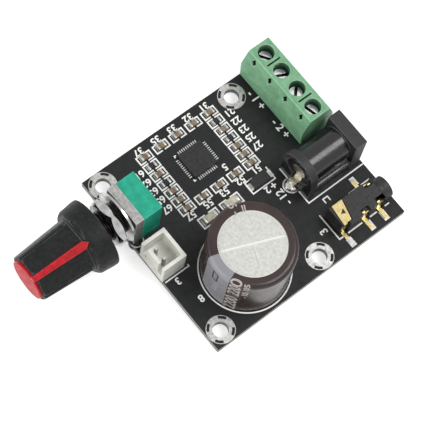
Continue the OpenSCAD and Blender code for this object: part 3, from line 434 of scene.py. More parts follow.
# %% Metals: dark and light colour, roughness, grain, bump, share of bare metal
for name, *look, metallic in (
    ("tin", (148, 148, 146), (192, 191, 187), (0.32, 0.5), 1500, 0.5, 1),
    ("solder", (150, 150, 148), (206, 205, 201), (0.22, 0.4), 1800, 0.6, 1),
    ("frame_steel", (134, 133, 131), (170, 169, 167), (0.42, 0.58), 1400, 0.5, 0.8),
    # the hole wall's plating is darkened as painted shade
    ("hole_plating", (74, 74, 72), (112, 112, 109), (0.4, 0.55), 1500, 0.4, 0.6),
    ("bushing_metal", (50, 46, 44), (74, 69, 65), (0.3, 0.45), 1600, 0.2, 1),
    ("screw_steel", (214, 216, 218), (244, 245, 246), (0.14, 0.26), 800, 0.15, 1),
    ("shaft_metal", (165, 165, 166), (205, 205, 205), (0.25, 0.4), None, 0.2, 1),
    ("plated_steel", (160, 161, 161), (200, 201, 200), (0.18, 0.3), 700, 0.06, 1),
    ("contact_gold", (172, 154, 102), (212, 196, 148), (0.22, 0.36), 1300, 0.2, 1),
    ("contact_tin", (190, 184, 166), (238, 234, 220), (0.18, 0.32), 1300, 0.2, 1),
    ("can_aluminium", (184, 185, 179), (206, 207, 201), (0.45, 0.6), 1600, 0.4, 0.2),
):
    make_finish(name, *look, metallic=metallic)
print("finishes:", len(finishes))

# %% Painted highlights on rolled edges
# painted highlight: paler colours laid on each finish's rolled edges
for name, colour in {
    "knob_black": (112, 112, 114), "socket_black": (104, 104, 106), "chip_black": (78, 78, 78),
    "terminal_green": (176, 220, 186), "pot_green": (104, 212, 188), "frame_steel": (226, 226, 224),
    "header_ivory": (246, 246, 241), "knob_red": (232, 92, 98),
}.items():
    edge_highlight = add_node(finishes[name].node_tree, "ShaderNodeGroup", {"Amount": EDGE_HIGHLIGHT}, node_tree=edge_highlight_group)
    overlay(name, edge_highlight.outputs["Tone"], colour)

# %% [markdown]
# ## Dressing the solids
# The record says which slot each solid belongs to, so one loop hands out the finishes. The board is one solid
# with two surfaces: lacquer on its faces and bare laminate on its cut edges, told apart by the direction of
# the surface. The power socket's barrel is polished, but its collar and flange are matt, told by their place.

# %% Finishes by the record's slots
POLES = 4
OTHER_FINISH = {"large_capacitors": "ceramic_pale", "audio_housing": "audio_black"}
OTHER_FINISH.update({"terminal_screw_" + str(pole + 1): "screw_steel" for pole in range(POLES)})
UPRIGHT = 0.5
COLLAR_Y = 36.225
COLLAR_HALF = 0.875
FLANGE_Y = 46.3
MATT = 0.6

slot_of = {part["node"]: part["material_slot"] for part in frame["record"]["subparts"]}
for name, slot in slot_of.items():
    nodes[name].material_slots[0].material = finishes[OTHER_FINISH.get(name, slot)]


def place_on(tree, centre, turn=0.0):
    """X, Y and Z of a place on the piece, from a centre and turned about the upright axis."""
    place = add_node(tree, "ShaderNodeTexCoord").outputs["Object"]
    centred = add_node(tree, "ShaderNodeMapping", {"Vector": place, "Location": -centre})
    turned_to = add_node(tree, "ShaderNodeMapping", {"Vector": centred, "Rotation": (0, 0, turn)})
    return split(tree, turned_to)


def upward(tree):
    """1 where the surface faces up, 0 where it stands upright and -1 where it faces down."""
    return split(tree, add_node(tree, "ShaderNodeTexCoord").outputs["Normal"])["Z"]


def within(tree, value, half):
    """1 where a value is less than half away from zero."""
    return calc(tree, "LESS_THAN", calc(tree, "ABSOLUTE", value), half)


tree = finishes["board_mask"].node_tree
overlay("board_mask", within(tree, upward(tree), UPRIGHT), (128, 126, 120))

tree = finishes["socket_black"].node_tree
along = place_on(tree, spot(0, COLLAR_Y))["Y"]
flange = calc(tree, "GREATER_THAN", along, (FLANGE_Y - COLLAR_Y) * MM)
ends = calc(tree, "MAXIMUM", within(tree, along, COLLAR_HALF * MM), flange)
overlay("socket_black", ends, MATT, "Roughness")
print("dressed solids:", len(slot_of))

# %% [markdown]
# ## Screws in their wells
# A terminal's screw has a bright face; its slot, side and thread below that face are painted dark as shade. Light that
# falls into the well round it hardly gets out again, so painted shade darkens the green towards the bottom. The
# screw's painted shade is told by its height, the well's by the distance from the nearest pole's axis.

# %% Painted shade in screw slots and wells
POLE_PITCH = 5.08
POLE_Y = 45.75
WELL_R = 1.78
WELL_DEPTH = 2.0
WELL_SHADE = (0.6, 1.0)
SLOT_SHADE = 0.06


def square_reach(tree, x, y):
    """The square of the distance from an upright axis."""
    return calc(tree, "ADD", calc(tree, "MULTIPLY", x, x), calc(tree, "MULTIPLY", y, y))


tree = finishes["screw_steel"].node_tree
height = place_on(tree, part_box("terminal_screw_1")[1])["Z"]
# painted shade: everything on the screw below its face is coloured dark
overlay("screw_steel", calc(tree, "LESS_THAN", height, -SLOT_SHADE * MM), (46, 48, 50))

tree = finishes["terminal_green"].node_tree
at = place_on(tree, spot(0, POLE_Y))
pitch = POLE_PITCH * MM
from_pole = calc(tree, "SUBTRACT", calc(tree, "FLOORED_MODULO", at["X"], pitch), pitch / 2)
inside = calc(tree, "LESS_THAN", square_reach(tree, from_pole, at["Y"]), (WELL_R * MM) ** 2)
top = board_box("terminal_block_left")[1].z
shade = remap(tree, at["Z"], (top * MM, (top - WELL_DEPTH) * MM), WELL_SHADE)
# painted shade: the wells' green darkens towards the bottom
overlay("terminal_green", calc(tree, "MULTIPLY", inside, shade), (10, 56, 30))
print("screws and wells shaded:", POLES)

# %% [markdown]
# ## Rolled edges
# The edge of a real moulding or stamping catches a thin line of light, but the solids are knife sharp. So each
# visible one gets a stand-in: a copy of the solid's own mesh, with loose triangles merged, flat areas joined
# and hard edges rolled over by a tenth of a millimetre or so. The rolled faces carry a mark that the finishes
# read to paint a paler highlight on them, and a weighted normal keeps large faces flat to the light. The screws are
# turned too, as in the photograph, and the blocks' hollow corners stay sharp to leave room for the clamps.

# %% Stand-ins with rolled edges
FLAT = math.radians(0.3)
HARD = math.radians(28)
ROLL_STEPS = 2
BLOCK_ROLL = 0.165
SCREW_ROLL = 0.06
SCREW_TURNS = (0.0, 85.0, 75.0, 5.0)
ROLLS = {
    0.15: ("power_housing", "pot_housing"),
    0.12: ("audio_housing", "header_housing", "pot_frame", "knob_body", "knob_pointer"),
    0.06: (
        "amplifier_chip", "diode_body", "chip_capacitors", "large_capacitors", "chip_ends", "large_capacitor_ends",
    ),
}


def add_piece(name, mesh, body, slot, *stands_for):
    """Puts a finished mesh in the scene on its body and hides the nodes it stands for; the slot is not used."""
    piece = put(name, mesh)
    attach(piece, body)
    if stands_for:
        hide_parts(*stands_for)


def plain_mesh(holder):
    """What an object's modifiers make of it, as a mesh that takes the object's place."""
    graph = bpy.context.evaluated_depsgraph_get()
    mesh = bpy.data.meshes.new_from_object(holder.evaluated_get(graph))
    mesh.name = holder.name
    bpy.data.objects.remove(holder)
    return mesh


def finished_mesh(bm, name, material):
    """An editable mesh as a mesh with one material."""
    mesh = bpy.data.meshes.new(name)
    bm.to_mesh(mesh)
    bm.free()
    mesh.materials.append(material)
    return mesh


def smooth_faces(bm):
    for face in bm.faces:
        face.smooth = True


def roll_edges(name, radius, hollows=True, turn=0.0):
    """Stands a turned copy with rolled edges in for a solid, its hollow corners rolled or not."""
    low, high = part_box(name)
    bm = merged_copy(name)
    about = Matrix.Rotation(math.radians(turn), 3, "Z")
    bmesh.ops.rotate(bm, verts=bm.verts, cent=middle((low, high)), matrix=about)
    mark = bm.faces.layers.float.new(EDGE_MARK)
    bmesh.ops.dissolve_limit(bm, angle_limit=FLAT, verts=bm.verts, edges=bm.edges)
    hard = [
        edge for edge in bm.edges
        if edge.is_manifold and edge.calc_face_angle() > HARD and (hollows or edge.is_convex)
    ]
    rolled = bmesh.ops.bevel(bm, geom=hard, offset=radius * MM, segments=ROLL_STEPS, profile=0.5, affect="EDGES")
    # the rolled faces are marked for the painted edge highlight
    for face in rolled["faces"]:
        face[mark] = 1.0
    for vert in bm.verts:
        vert.co = [min(max(c, lowest), highest) for c, lowest, highest in zip(vert.co, low, high)]
    smooth_faces(bm)
    title = name + "_rolled"
    holder = put(title, finished_mesh(bm, title, nodes[name].material_slots[0].material))
    holder.modifiers.new("flat faces stay flat", "WEIGHTED_NORMAL").keep_sharp = True
    final = plain_mesh(holder)
    add_piece(title, final, nodes[name]["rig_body"], slot_of[name], name)
    print(name, "rolled, faces:", len(final.polygons))


for block in ("terminal_block_left", "terminal_block_right"):
    roll_edges(block, BLOCK_ROLL, hollows=False)
for number, turn in enumerate(SCREW_TURNS, 1):
    roll_edges("terminal_screw_" + str(number), SCREW_ROLL, turn=turn)
for radius, names in ROLLS.items():
    for name in names:
        roll_edges(name, radius)

# %% [markdown]
# ## Openings in the terminals
# Above each wire entry a small hole lets a probe reach the metal, and a slot parts the two poles of a block.
# In a real block both go on into the dark inside. A nearly black floor a little way down is a painted shadow that
# stands for that dark. The holes lie in the sloping face, so their floors lean with it.

# %% Painted shadow floors in holes and slots
PROBE_AT = (42.567, 8.633)
PROBE_LEAN = math.atan2(1.6, 4.1)
PROBE_HALF = (0.61, 0.96)
SLOT_Z = 9.4
SLOT_HALF = (0.21, 1.76)
FLOOR_DOWN = 0.45
FLOOR_T = 0.06


def skin(bm, rings, closed=True):
    """Joins rings of corners, the last to the first if closed, or else with a face at both ends."""
    for a, b in zip(rings, rings[1:] + rings[:closed]):
        for k in range(len(a)):
            n = (k + 1) % len(a)
            bm.faces.new((a[k], a[n], b[n], b[k]))
    if not closed:
        bm.faces.new(rings[0])
        bm.faces.new(reversed(rings[-1]))


def finish_piece(bm, name, finish, slot, *stands_for):
    """Turns the faces outwards and adds the mesh to the board with one finish."""
    bmesh.ops.recalc_face_normals(bm, faces=bm.faces)
    add_piece(name, finished_mesh(bm, name, finishes[finish]), "board", slot, *stands_for)


def add_floor(bm, corners, thick):
    """A flat slab under an outline of points."""
    skin(bm, [[bm.verts.new(corner + down) for corner in corners] for down in (Vector(), thick)], closed=False)


def make_dark_floors():
    inward = Vector((0, math.cos(PROBE_LEAN), -math.sin(PROBE_LEAN))) * MM
    up_slope = Vector((0, math.sin(PROBE_LEAN), math.cos(PROBE_LEAN))) * MM
    across = Vector((MM, 0, 0))
    bm = bmesh.new()
    wide, high = across * PROBE_HALF[0], up_slope * PROBE_HALF[1]
    for pole in range(POLES):
        at = spot((pole + 0.5) * POLE_PITCH, *PROBE_AT) + inward * FLOOR_DOWN
        add_floor(bm, [at + high, at + wide, at - high, at - wide], inward * FLOOR_T)
    wide, long = across * SLOT_HALF[0], Vector((0, SLOT_HALF[1] * MM, 0))
    for pole in range(1, POLES, 2):
        at = spot(pole * POLE_PITCH, POLE_Y, SLOT_Z)
        corners = [at + wide + long, at - wide + long, at - wide - long, at + wide - long]
        add_floor(bm, corners, Vector((0, 0, -FLOOR_T * MM)))
    # painted shadow: the floors stand for the dark inside the block
    finish_piece(bm, "terminal_opening_shadows", "deep_dark", "terminal_green")
    print("dark floors in the holes and slots of poles:", POLES)


make_dark_floors()

# %% [markdown]
# ## The white print
# A board maker prints white outlines that show where each part goes. The board's material could paint them,
# but thin lines stay crisp from any distance as strips of ink of their own, a few hundredths of a millimetre
# thick. One helper lays a strip along any path, with mitred corners.

# %% Strips of ink
INK_LOW = -0.01
INK_HIGH = 0.03
INK_MIDDLE = (INK_LOW + INK_HIGH) / 2
LINE = 0.3
SHARPEST = 0.3


def strip(bm, path, width, low=INK_LOW, high=INK_HIGH, closed=False):
    """Lays a strip along (x, y) points, in millimetres on the board."""
    points = [Vector(point) for point in path]
    count = len(points)
    rows = []
    for i, here in enumerate(points):
        before = (here - points[i - 1]).normalized() if i or closed else None
        after = (points[(i + 1) % count] - here).normalized() if i < count - 1 or closed else None
        first, second = before or after, after or before
        side = Vector((-first.y - second.y, first.x + second.x)).normalized()
        reach = width / 2 / max(SHARPEST, side.dot(Vector((-first.y, first.x))))
        left, right = here + side * reach, here - side * reach
        corners = ((left, low), (right, low), (right, high), (left, high))
        rows.append([bm.verts.new(spot(point.x, point.y, z)) for point, z in corners])
    skin(bm, rows, closed)


def arc(x, y, radius, start, sweep, steps):
    """Points along an arc on the board, angles in degrees from the knob edge's direction."""
    angles = [math.radians(start + sweep * i / steps) for i in range(steps + 1)]
    return [(x + radius * math.cos(a), y + radius * math.sin(a)) for a in angles]


# %% Outlines of the large parts
CAN_PRINT_R = 9.66
CAN_STEPS = 96
POWER_LINES = (((31.6, 49.9), (31.6, 35), (28.3, 35)), ((24.6, 35), (21.95, 35)))
AUDIO_LINES = (
    ((35, 35), (41.6, 35), (41.6, 36.2)), ((41.6, 37.3), (41.6, 41.2)), ((41.6, 43.3), (41.6, 45.2)),
    ((41.6, 47.4), (41.6, 48.6)), ((35, 43), (35, 45)), ((35, 46.3), (35, 48.7)),
)
OTHER_LINES = (
    ((19.9, 32.9), (23.1, 32.9), (23.1, 27), (20.2, 27), (20.2, 29)),
    ((26.9, 6.4), (27.4, 6.4), (27.4, 0.3)),
    ((33.8, 37.9), (32.7, 37.9), (32.7, 39.1), (33.8, 39.1)),
)
CORNER_OUT = 0.42
CORNER_LEG = 0.42
CORNER_LINE = 0.26

can_low, can_high = board_box("capacitor_can")
CAN_X, CAN_Y = middle((can_low, can_high)).xy
outline = bmesh.new()
strip(outline, arc(CAN_X, CAN_Y, CAN_PRINT_R, 0, 360, CAN_STEPS)[:-1], LINE, closed=True)
for path in POWER_LINES + AUDIO_LINES + OTHER_LINES:
    strip(outline, path, LINE)
chip_low, chip_high = board_box("amplifier_chip")
corner_y = chip_low.y - CORNER_OUT
for x, inward in ((chip_low.x - CORNER_OUT, CORNER_LEG), (chip_high.x + CORNER_OUT, -CORNER_LEG)):
    strip(outline, [(x + inward, corner_y), (x, corner_y), (x, corner_y + CORNER_LEG)], CORNER_LINE)
finish_piece(outline, "print_outlines", "print_white", "board_mask")
print("outlines printed round a capacitor of radius", round((can_high.x - can_low.x) / 2, 2))

# %% [markdown]
# ## What repeats on the board
# Each small chip lies between a pair of white brackets, on two tinned pads with a little solder at each end.
# Drawing each one would be a long list, so Geometry Nodes make one unit from named sizes and set it on every
# place at that place's own angle. The result becomes a plain mesh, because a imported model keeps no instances.

# %% Trees that set one unit on many places


def new_tree(name, sizes):
    """A Geometry Nodes tree with places, named sizes and a finish as inputs."""
    tree = bpy.data.node_groups.new(name, "GeometryNodeTree")
    tree.interface.new_socket("Places", in_out="INPUT", socket_type="NodeSocketGeometry")
    for label in sizes:
        tree.interface.new_socket(label, in_out="INPUT", socket_type="NodeSocketFloat")
    tree.interface.new_socket("Finish", in_out="INPUT", socket_type="NodeSocketMaterial")
    tree.interface.new_socket("Pieces", in_out="OUTPUT", socket_type="NodeSocketGeometry")
    return tree, add_node(tree, "NodeGroupInput").outputs


def set_on_places(tree, given, unit):
    """Ends a tree: the unit on every place, turned and sized by the place, as one plain mesh."""
    turn, size = [
        add_node(tree, "GeometryNodeInputNamedAttribute", {"Name": label}, data_type="FLOAT").outputs["Attribute"]
        for label in ("turn", "size")
    ]
    rotation = add_node(tree, "FunctionNodeEulerToRotation", {0: combine(tree, z=turn)})
    spread = add_node(tree, "GeometryNodeInstanceOnPoints", {
        "Points": given["Places"], "Instance": unit, "Rotation": rotation,
        "Scale": combine(tree, size, size, 1.0),
    })
    whole = add_node(tree, "GeometryNodeRealizeInstances", {0: spread})
    painted = add_node(tree, "GeometryNodeSetMaterial", {"Geometry": whole, "Material": given["Finish"]})
    add_node(tree, "NodeGroupOutput", {"Pieces": painted})
    return tree


def slab(tree, width, length, thickness, x=0.0, y=0.0):
    """A block of a given size, its middle moved in its own plane."""
    cube = add_node(tree, "GeometryNodeMeshCube", {"Size": combine(tree, width, length, thickness)})
    moved = {"Geometry": cube, "Translation": combine(tree, x, y)}
    return add_node(tree, "GeometryNodeTransform", moved).outputs[0]


def join(tree, parts):
    """Several shapes as one."""
    whole = add_node(tree, "GeometryNodeJoinGeometry")
    for part in parts:
        tree.links.new(part, whole.inputs[0])
    return whole.outputs[0]


def grow(name, tree, places, sizes, finish, slot):
    """Runs a tree on (point, turn, size) places and keeps the result as a plain mesh on the board."""
    seeds = bpy.data.meshes.new(name)
    points, turns, scales = zip(*places)
    seeds.from_pydata(points, [], [])
    for label, values in (("turn", turns), ("size", scales)):
        seeds.attributes.new(label, "FLOAT", "POINT").data.foreach_set("value", values)
    holder = put(name, seeds)
    run = holder.modifiers.new("grow", "NODES")
    run.node_group = tree
    sockets = {item.name: item.identifier for item in tree.interface.items_tree if item.in_out == "INPUT"}
    for label, value in sizes.items():
        run[sockets[label]] = value * MM
    run[sockets["Finish"]] = finishes[finish]
    mesh = plain_mesh(holder)
    add_piece(name, mesh, "board", slot)
    print(name, "places:", len(places), "faces:", len(mesh.polygons))


# %% [markdown]
# ## Brackets round the chips
# A bracket is a U of ink, open towards the chip's middle: one bar across and two legs. The second bracket
# is the first turned half round. Width, depth, line and gap are inputs, so the same tree prints the
# brackets of the two larger chips.

# %% Bracket tree and its print
SMALL_BRACKET = {"Width": 2.12, "Depth": 3.64, "Line": 0.32, "Gap": 0.5, "Thickness": 0.04}
LARGE_BRACKET = {"Width": 2.7, "Depth": 5.0, "Line": 0.32, "Gap": 0.9, "Thickness": 0.04}


def make_bracket_tree():
    tree, given = new_tree("bracket_pair", SMALL_BRACKET)
    width, line, thickness = given["Width"], given["Line"], given["Thickness"]
    half_width, half_depth, half_line, half_gap = [
        calc(tree, "MULTIPLY", given[label], 0.5) for label in ("Width", "Depth", "Line", "Gap")
    ]
    leg_x = calc(tree, "SUBTRACT", half_width, half_line)
    leg_len = calc(tree, "SUBTRACT", calc(tree, "SUBTRACT", half_depth, half_gap), line)
    leg_y = calc(tree, "ADD", half_gap, calc(tree, "MULTIPLY", leg_len, 0.5))
    bar = slab(tree, width, line, thickness, y=calc(tree, "SUBTRACT", half_depth, half_line))
    legs = [slab(tree, line, leg_len, thickness, x, leg_y) for x in (leg_x, calc(tree, "MULTIPLY", leg_x, -1.0))]
    upper = join(tree, [bar, *legs])
    lower = add_node(tree, "GeometryNodeTransform", {"Geometry": upper, "Rotation": (0, 0, math.pi)}).outputs[0]
    return set_on_places(tree, given, join(tree, [upper, lower]))


bracket_tree = make_bracket_tree()
for name, boxes, sizes in (
    ("print_brackets", chip_boxes, SMALL_BRACKET), ("print_large_brackets", large_boxes, LARGE_BRACKET),
):
    places = [(spot(*middle(ends).xy, INK_MIDDLE), 0.0, 1.0) for ends in boxes]
    grow(name, bracket_tree, places, sizes, "print_white", "board_mask")

# %% [markdown]
# ## Solder at the chips' ends
# Molten solder climbs a chip's end and runs out along its pad, so from the side it is a hollow curve. The
# unit starts as a block divided along its length, and each corner on top is pulled down by the square of its
# distance from the chip.

# %% Solder fillets
FILLET_STEPS = 6
FALL = 0.9
WIDE_AT_CHIP = 1.06
NARROWING = 0.12
SMALL_FILLET = {"Width": 1.15, "Length": 0.16, "Height": 0.38}
LARGE_FILLET = {"Width": 1.6, "Length": 0.3, "Height": 0.55}


def make_fillet_tree():
    tree, given = new_tree("solder_fillet", SMALL_FILLET)
    size = combine(tree, given["Width"], given["Length"], given["Height"])
    block = add_node(tree, "GeometryNodeMeshCube", {"Size": size, "Vertices Y": FILLET_STEPS})
    at = split(tree, add_node(tree, "GeometryNodeInputPosition"))
    away = calc(tree, "ADD", calc(tree, "DIVIDE", at["Y"], given["Length"]), 0.5)
    left = calc(tree, "POWER", calc(tree, "SUBTRACT", 1.0, calc(tree, "MULTIPLY", away, FALL)), 2.0)
    narrow = calc(tree, "SUBTRACT", WIDE_AT_CHIP, calc(tree, "MULTIPLY", away, NARROWING))
    along = calc(tree, "ADD", at["Y"], calc(tree, "MULTIPLY", given["Length"], 0.5))
    up = calc(tree, "ADD", at["Z"], calc(tree, "MULTIPLY", given["Height"], 0.5))
    bowed = combine(tree, calc(tree, "MULTIPLY", at["X"], narrow), along, calc(tree, "MULTIPLY", up, left))
    shaped = add_node(tree, "GeometryNodeSetPosition", {"Geometry": block, "Position": bowed})
    flat = add_node(tree, "GeometryNodeSetShadeSmooth", {"Geometry": shaped, "Shade Smooth": False})
    return set_on_places(tree, given, flat)


def end_places(boxes, reach):
    """A place at both ends of each chip, reach past its middle solid, turned to point away from it."""
    found = []
    for low, high in boxes:
        x = middle((low, high)).x
        found.append((spot(x, high.y + reach), 0.0, 1.0))
        found.append((spot(x, low.y - reach), math.pi, 1.0))
    return found


def end_cap_length(ends_node, boxes):
    """How far the tinned ends of a node's chips reach past their ceramic middles."""
    return max(high.y for low, high in islands(ends_node)) - max(high.y for low, high in boxes)


small_end = end_cap_length("chip_ends", chip_boxes)
large_end = end_cap_length("large_capacitor_ends", large_boxes)
fillet_tree = make_fillet_tree()
grow("solder_small", fillet_tree, end_places(chip_boxes, small_end), SMALL_FILLET, "solder", "tin")
grow("solder_large", fillet_tree, end_places(large_boxes, large_end), LARGE_FILLET, "solder", "tin")

# %% [markdown]
# ## Tinned pads
# Where the lacquer is left open, copper shows under a skin of tin: ten narrow pads on each side of the chip,
# square ones below the audio socket, and a ring round each soldered lead on both faces of the board. Pads are
# plain slabs, so one tree with a width and a length serves them all.

# %% Flat pads
PAD_T = 0.05
CHIP_PADS = 10
CHIP_PITCH = 0.5
CHIP_PAD_OUT = 0.5
LARGE_PAD_OUT = 0.05
DIODE_PAD_OUT = 0.55
AUDIO_PADS = ((43.1, 46.0, 2.3, 1.3), (43.1, 42.25, 2.3, 1.3), (43.5, 36.6, 2.2, 1.3), (33.5, 45.7, 2.0, 1.2))


def pad(width, length):
    return {"Width": width, "Length": length, "Thickness": PAD_T}


def make_pad_tree():
    tree, given = new_tree("flat_pad", ("Width", "Length", "Thickness"))
    return set_on_places(tree, given, slab(tree, given["Width"], given["Length"], given["Thickness"]))


def chip_pad_places():
    """Places along each side of the chip, just outside its body."""
    out = (chip_high.x - chip_low.x) / 2 + CHIP_PAD_OUT
    found = []
    for side in range(4):
        turn = side * math.pi / 2
        for i in range(CHIP_PADS):
            across = (i - (CHIP_PADS - 1) / 2) * CHIP_PITCH
            at = middle((chip_low, chip_high)).xy + Matrix.Rotation(turn, 2) @ Vector((across, out))
            found.append((spot(*at), turn, 1.0))
    return found


pad_tree = make_pad_tree()
grow("chip_pads", pad_tree, chip_pad_places(), pad(0.24, 0.7), "solder", "tin")
for number, (x, y, width, length) in enumerate(AUDIO_PADS, 1):
    grow("audio_pad_" + str(number), pad_tree, [(spot(x, y), 0.0, 1.0)], pad(width, length), "tin", "tin")
for name, boxes, reach, size in (
    ("small_chip_pads", chip_boxes, small_end, pad(1.2, 0.36)),
    ("large_chip_pads", large_boxes, large_end + LARGE_PAD_OUT, pad(1.7, 0.6)),
    ("diode_pads", islands("diode_body"), DIODE_PAD_OUT, pad(1.7, 1.3)),
):
    grow(name, pad_tree, end_places(boxes, reach), size, "tin", "tin")

# %% Rings round the soldered leads
RING = {"Width": 0.3, "Thickness": PAD_T}
RING_STEPS = 32


def make_ring_tree():
    """A flat ring of radius 1 mm that each place scales to its lead."""
    tree, given = new_tree("lead_ring", RING)
    path = add_node(tree, "GeometryNodeCurvePrimitiveCircle", {"Resolution": RING_STEPS, "Radius": MM})
    section = add_node(tree, "GeometryNodeCurvePrimitiveQuadrilateral", {
        "Width": given["Width"], "Height": given["Thickness"],
    })
    ring = add_node(tree, "GeometryNodeCurveToMesh", {"Curve": path, "Profile Curve": section})
    return set_on_places(tree, given, ring)


lead_places = [
    (spot(*middle((low, high)).xy, z), 0.0, (high.x - low.x) / 2) for z in (0.0, -BOARD_T) for low, high in joint_boxes
]
grow("lead_rings", make_ring_tree(), lead_places, RING, "tin", "tin")

# %% [markdown]
# ## Solder at the power socket's tab
# The tab behind the power socket is the one lead whose joint shows from above: a pale bead of solder that
# crept up through the hole. It is a small dome, turned from an outline that sinks towards its rim, and uneven
# because no bead is perfectly round.

# %% A bead of solder round the tab
ROUND_STEPS = 64
BEAD_STEPS = 48
BEAD_SHARE = 0.8
BEAD_PROFILE = ((1.0, 0.0), (0.97, 0.06), (0.8, 0.2), (0.55, 0.34), (0.3, 0.42), (0.05, 0.45), (0.05, 0.0))
BEAD_WAVES = ((0.07, 3, 0.6), (0.04, 7, 0.0))
NEAR_TAB = 0.5
SAME_ROW = 0.1


def turned(bm, x, y, profile, steps=ROUND_STEPS, size=lambda a: 1.0):
    """Turns a closed (radius, height) profile round an upright axis, sized by angle."""
    rings = []
    for i in range(steps):
        a = 2 * math.pi * i / steps
        across, along = size(a) * math.cos(a), size(a) * math.sin(a)
        rings.append([bm.verts.new(spot(x + r * across, y + r * along, z)) for r, z in profile])
    skin(bm, rings)


def make_bead():
    x = middle(board_box("power_rear_tab")).x
    y = min(middle(ends).y for ends in joint_boxes if abs(middle(ends).x - x) < NEAR_TAB)
    widths = [high.x - low.x for low, high in joint_boxes if abs(middle((low, high)).y - y) < SAME_ROW]
    radius = BEAD_SHARE * max(widths) / 2

    def size(a):
        return radius * (1 + sum(depth * math.sin(count * a + start) for depth, count, start in BEAD_WAVES))

    bm = bmesh.new()
    turned(bm, x, y, BEAD_PROFILE, BEAD_STEPS, size)
    smooth_faces(bm)
    finish_piece(bm, "tab_solder", "solder", "tin")
    print("bead of solder at", round(x, 1), round(y, 1), "radius", round(radius, 2))


make_bead()

# %% [markdown]
# ## Mounting holes
# Each mounting hole has a dull plated wall, painted darker than tin as shade, and a wide tinned ring on both faces.
# All three are short turned shapes, so the bead's helper turns them from small outlines too. Four dashes of black
# lacquer lie on each upper ring, on its diagonals.

# %% Lined holes and their dashes
HOLE_R = 1.7
RING_R = 3.05
LINER_T = 0.04
LINED_R = HOLE_R - LINER_T
DASH_R = 2.6
DASH_W = 0.58
DASH_SWEEP = 38
DASH_STEPS = 8
DASH_LOW = LINER_T - 0.01
DASH_HIGH = LINER_T + 0.02
HOLES = ((3.1, 3.1), (41.9, 3.1), (3.1, 37.3), (41.9, 29.3))

upper_ring = [(RING_R, 0), (RING_R, LINER_T), (LINED_R, LINER_T), (LINED_R, 0)]
lower_ring = [(radius, -BOARD_T - z) for radius, z in upper_ring]
wall = [(HOLE_R, 0), (LINED_R, 0), (LINED_R, -BOARD_T), (HOLE_R, -BOARD_T)]
hole_rings, hole_walls, hole_dashes = bmesh.new(), bmesh.new(), bmesh.new()
for x, y in HOLES:
    turned(hole_rings, x, y, upper_ring)
    turned(hole_rings, x, y, lower_ring)
    turned(hole_walls, x, y, wall)
    for diagonal in (45, 135, 225, 315):
        path = arc(x, y, DASH_R, diagonal - DASH_SWEEP / 2, DASH_SWEEP, DASH_STEPS)
        strip(hole_dashes, path, DASH_W, DASH_LOW, DASH_HIGH)
finish_piece(hole_rings, "hole_rings", "tin", "tin")
# painted shade: the plated wall is coloured darker than the tin rings
finish_piece(hole_walls, "hole_walls", "hole_plating", "tin")
finish_piece(hole_dashes, "hole_dashes", "board_mask", "board_mask")
print("lined holes:", len(HOLES))

# %% [markdown]
# ## Figures beside the parts
# Beside each part a board has a printed mark. Here these are plain figures and signs in the built-in font:
# each is drawn large, made a mesh and only then shrunk into place, because very small outlines don't fill well.

# %% Printed figures
FIGURE_H = 1.55
SIGN_H = 1.7
FIGURE_SIZE = 1.42
BOLDER = 0.055
ROW_X = [5.65 + 2.35 * i for i in range(5)]
COLUMN_Y = (31.0, 26.7, 22.4, 18.1, 13.6)
FIGURES = (
    ("5", 14.8, 26.0), ("2", 24.1, 29.9), ("3", 28.6, 2.6), ("8", 34.3, 4.1), ("- 1 +", 6.9, 41.0, SIGN_H, 0),
    ("- 2 +", 15.1, 41.0, SIGN_H, 0), ("- 12 +", 26.4, 31.7, SIGN_H, 180), ("3", 38.3, 33.5, SIGN_H, 180),
)


def flat_figure(text, height):
    """A short text as a thin flat mesh round the origin, in millimetres."""
    curve = bpy.data.curves.new("figure", "FONT")
    curve.body = text
    curve.size = height * FIGURE_SIZE
    curve.align_x = "CENTER"
    curve.align_y = "CENTER"
    curve.extrude = (INK_HIGH - INK_LOW) / 2
    curve.offset = BOLDER
    return plain_mesh(put("figure", curve))


def figure(bm, text, x, y, height=FIGURE_H, turn=-90):
    """Prints a short text on the board, centred on a place and turned in degrees."""
    mesh = flat_figure(text, height)
    place = Matrix.Translation(spot(x, y, INK_MIDDLE)) @ Matrix.Rotation(math.radians(turn), 4, "Z")
    mesh.transform(place @ Matrix.Scale(MM, 4))
    bm.from_mesh(mesh)
    bpy.data.meshes.remove(mesh)


figures = bmesh.new()
for unit, row_x, column_y in zip("12357", ROW_X, COLUMN_Y):
    for ten, x, y in (("2", row_x, 34.6), ("6", row_x, 10.6), ("3", 1.45, column_y), ("5", 19.1, column_y)):
        figure(figures, ten + unit, x, y)
for mark in FIGURES:
    figure(figures, *mark)
bmesh.ops.remove_doubles(figures, verts=figures.verts, dist=WELD)
finish_piece(figures, "print_figures", "print_white", "board_mask")

# %% [markdown]
# ## The threaded bushing
# The bushing that carries the knob's shaft has a fine thread for its nut: one groove wound round a cylinder.
# At each height the radius dips once per turn, and the dip moves along by one pitch each time round. Every
# ring of corners has the same count, so the rings join into one closed shape.

# %% Bushing with its thread
THREAD_PITCH = 0.75
THREAD_DEPTH = 0.3
THREAD_STEPS = 8


def bushing_measures():
    """The bushing's axis and its radii at each distance along it, read from the solid."""
    axis = middle(board_box("pot_shaft"))
    found = {}
    for vert in nodes["pot_bushing"].data.vertices:
        point = on_board(vert.co)
        radius = round(math.hypot(point.x - axis.x, point.z - axis.z), 2)
        found.setdefault(round(point.y, 2), set()).add(radius)
    return axis, found


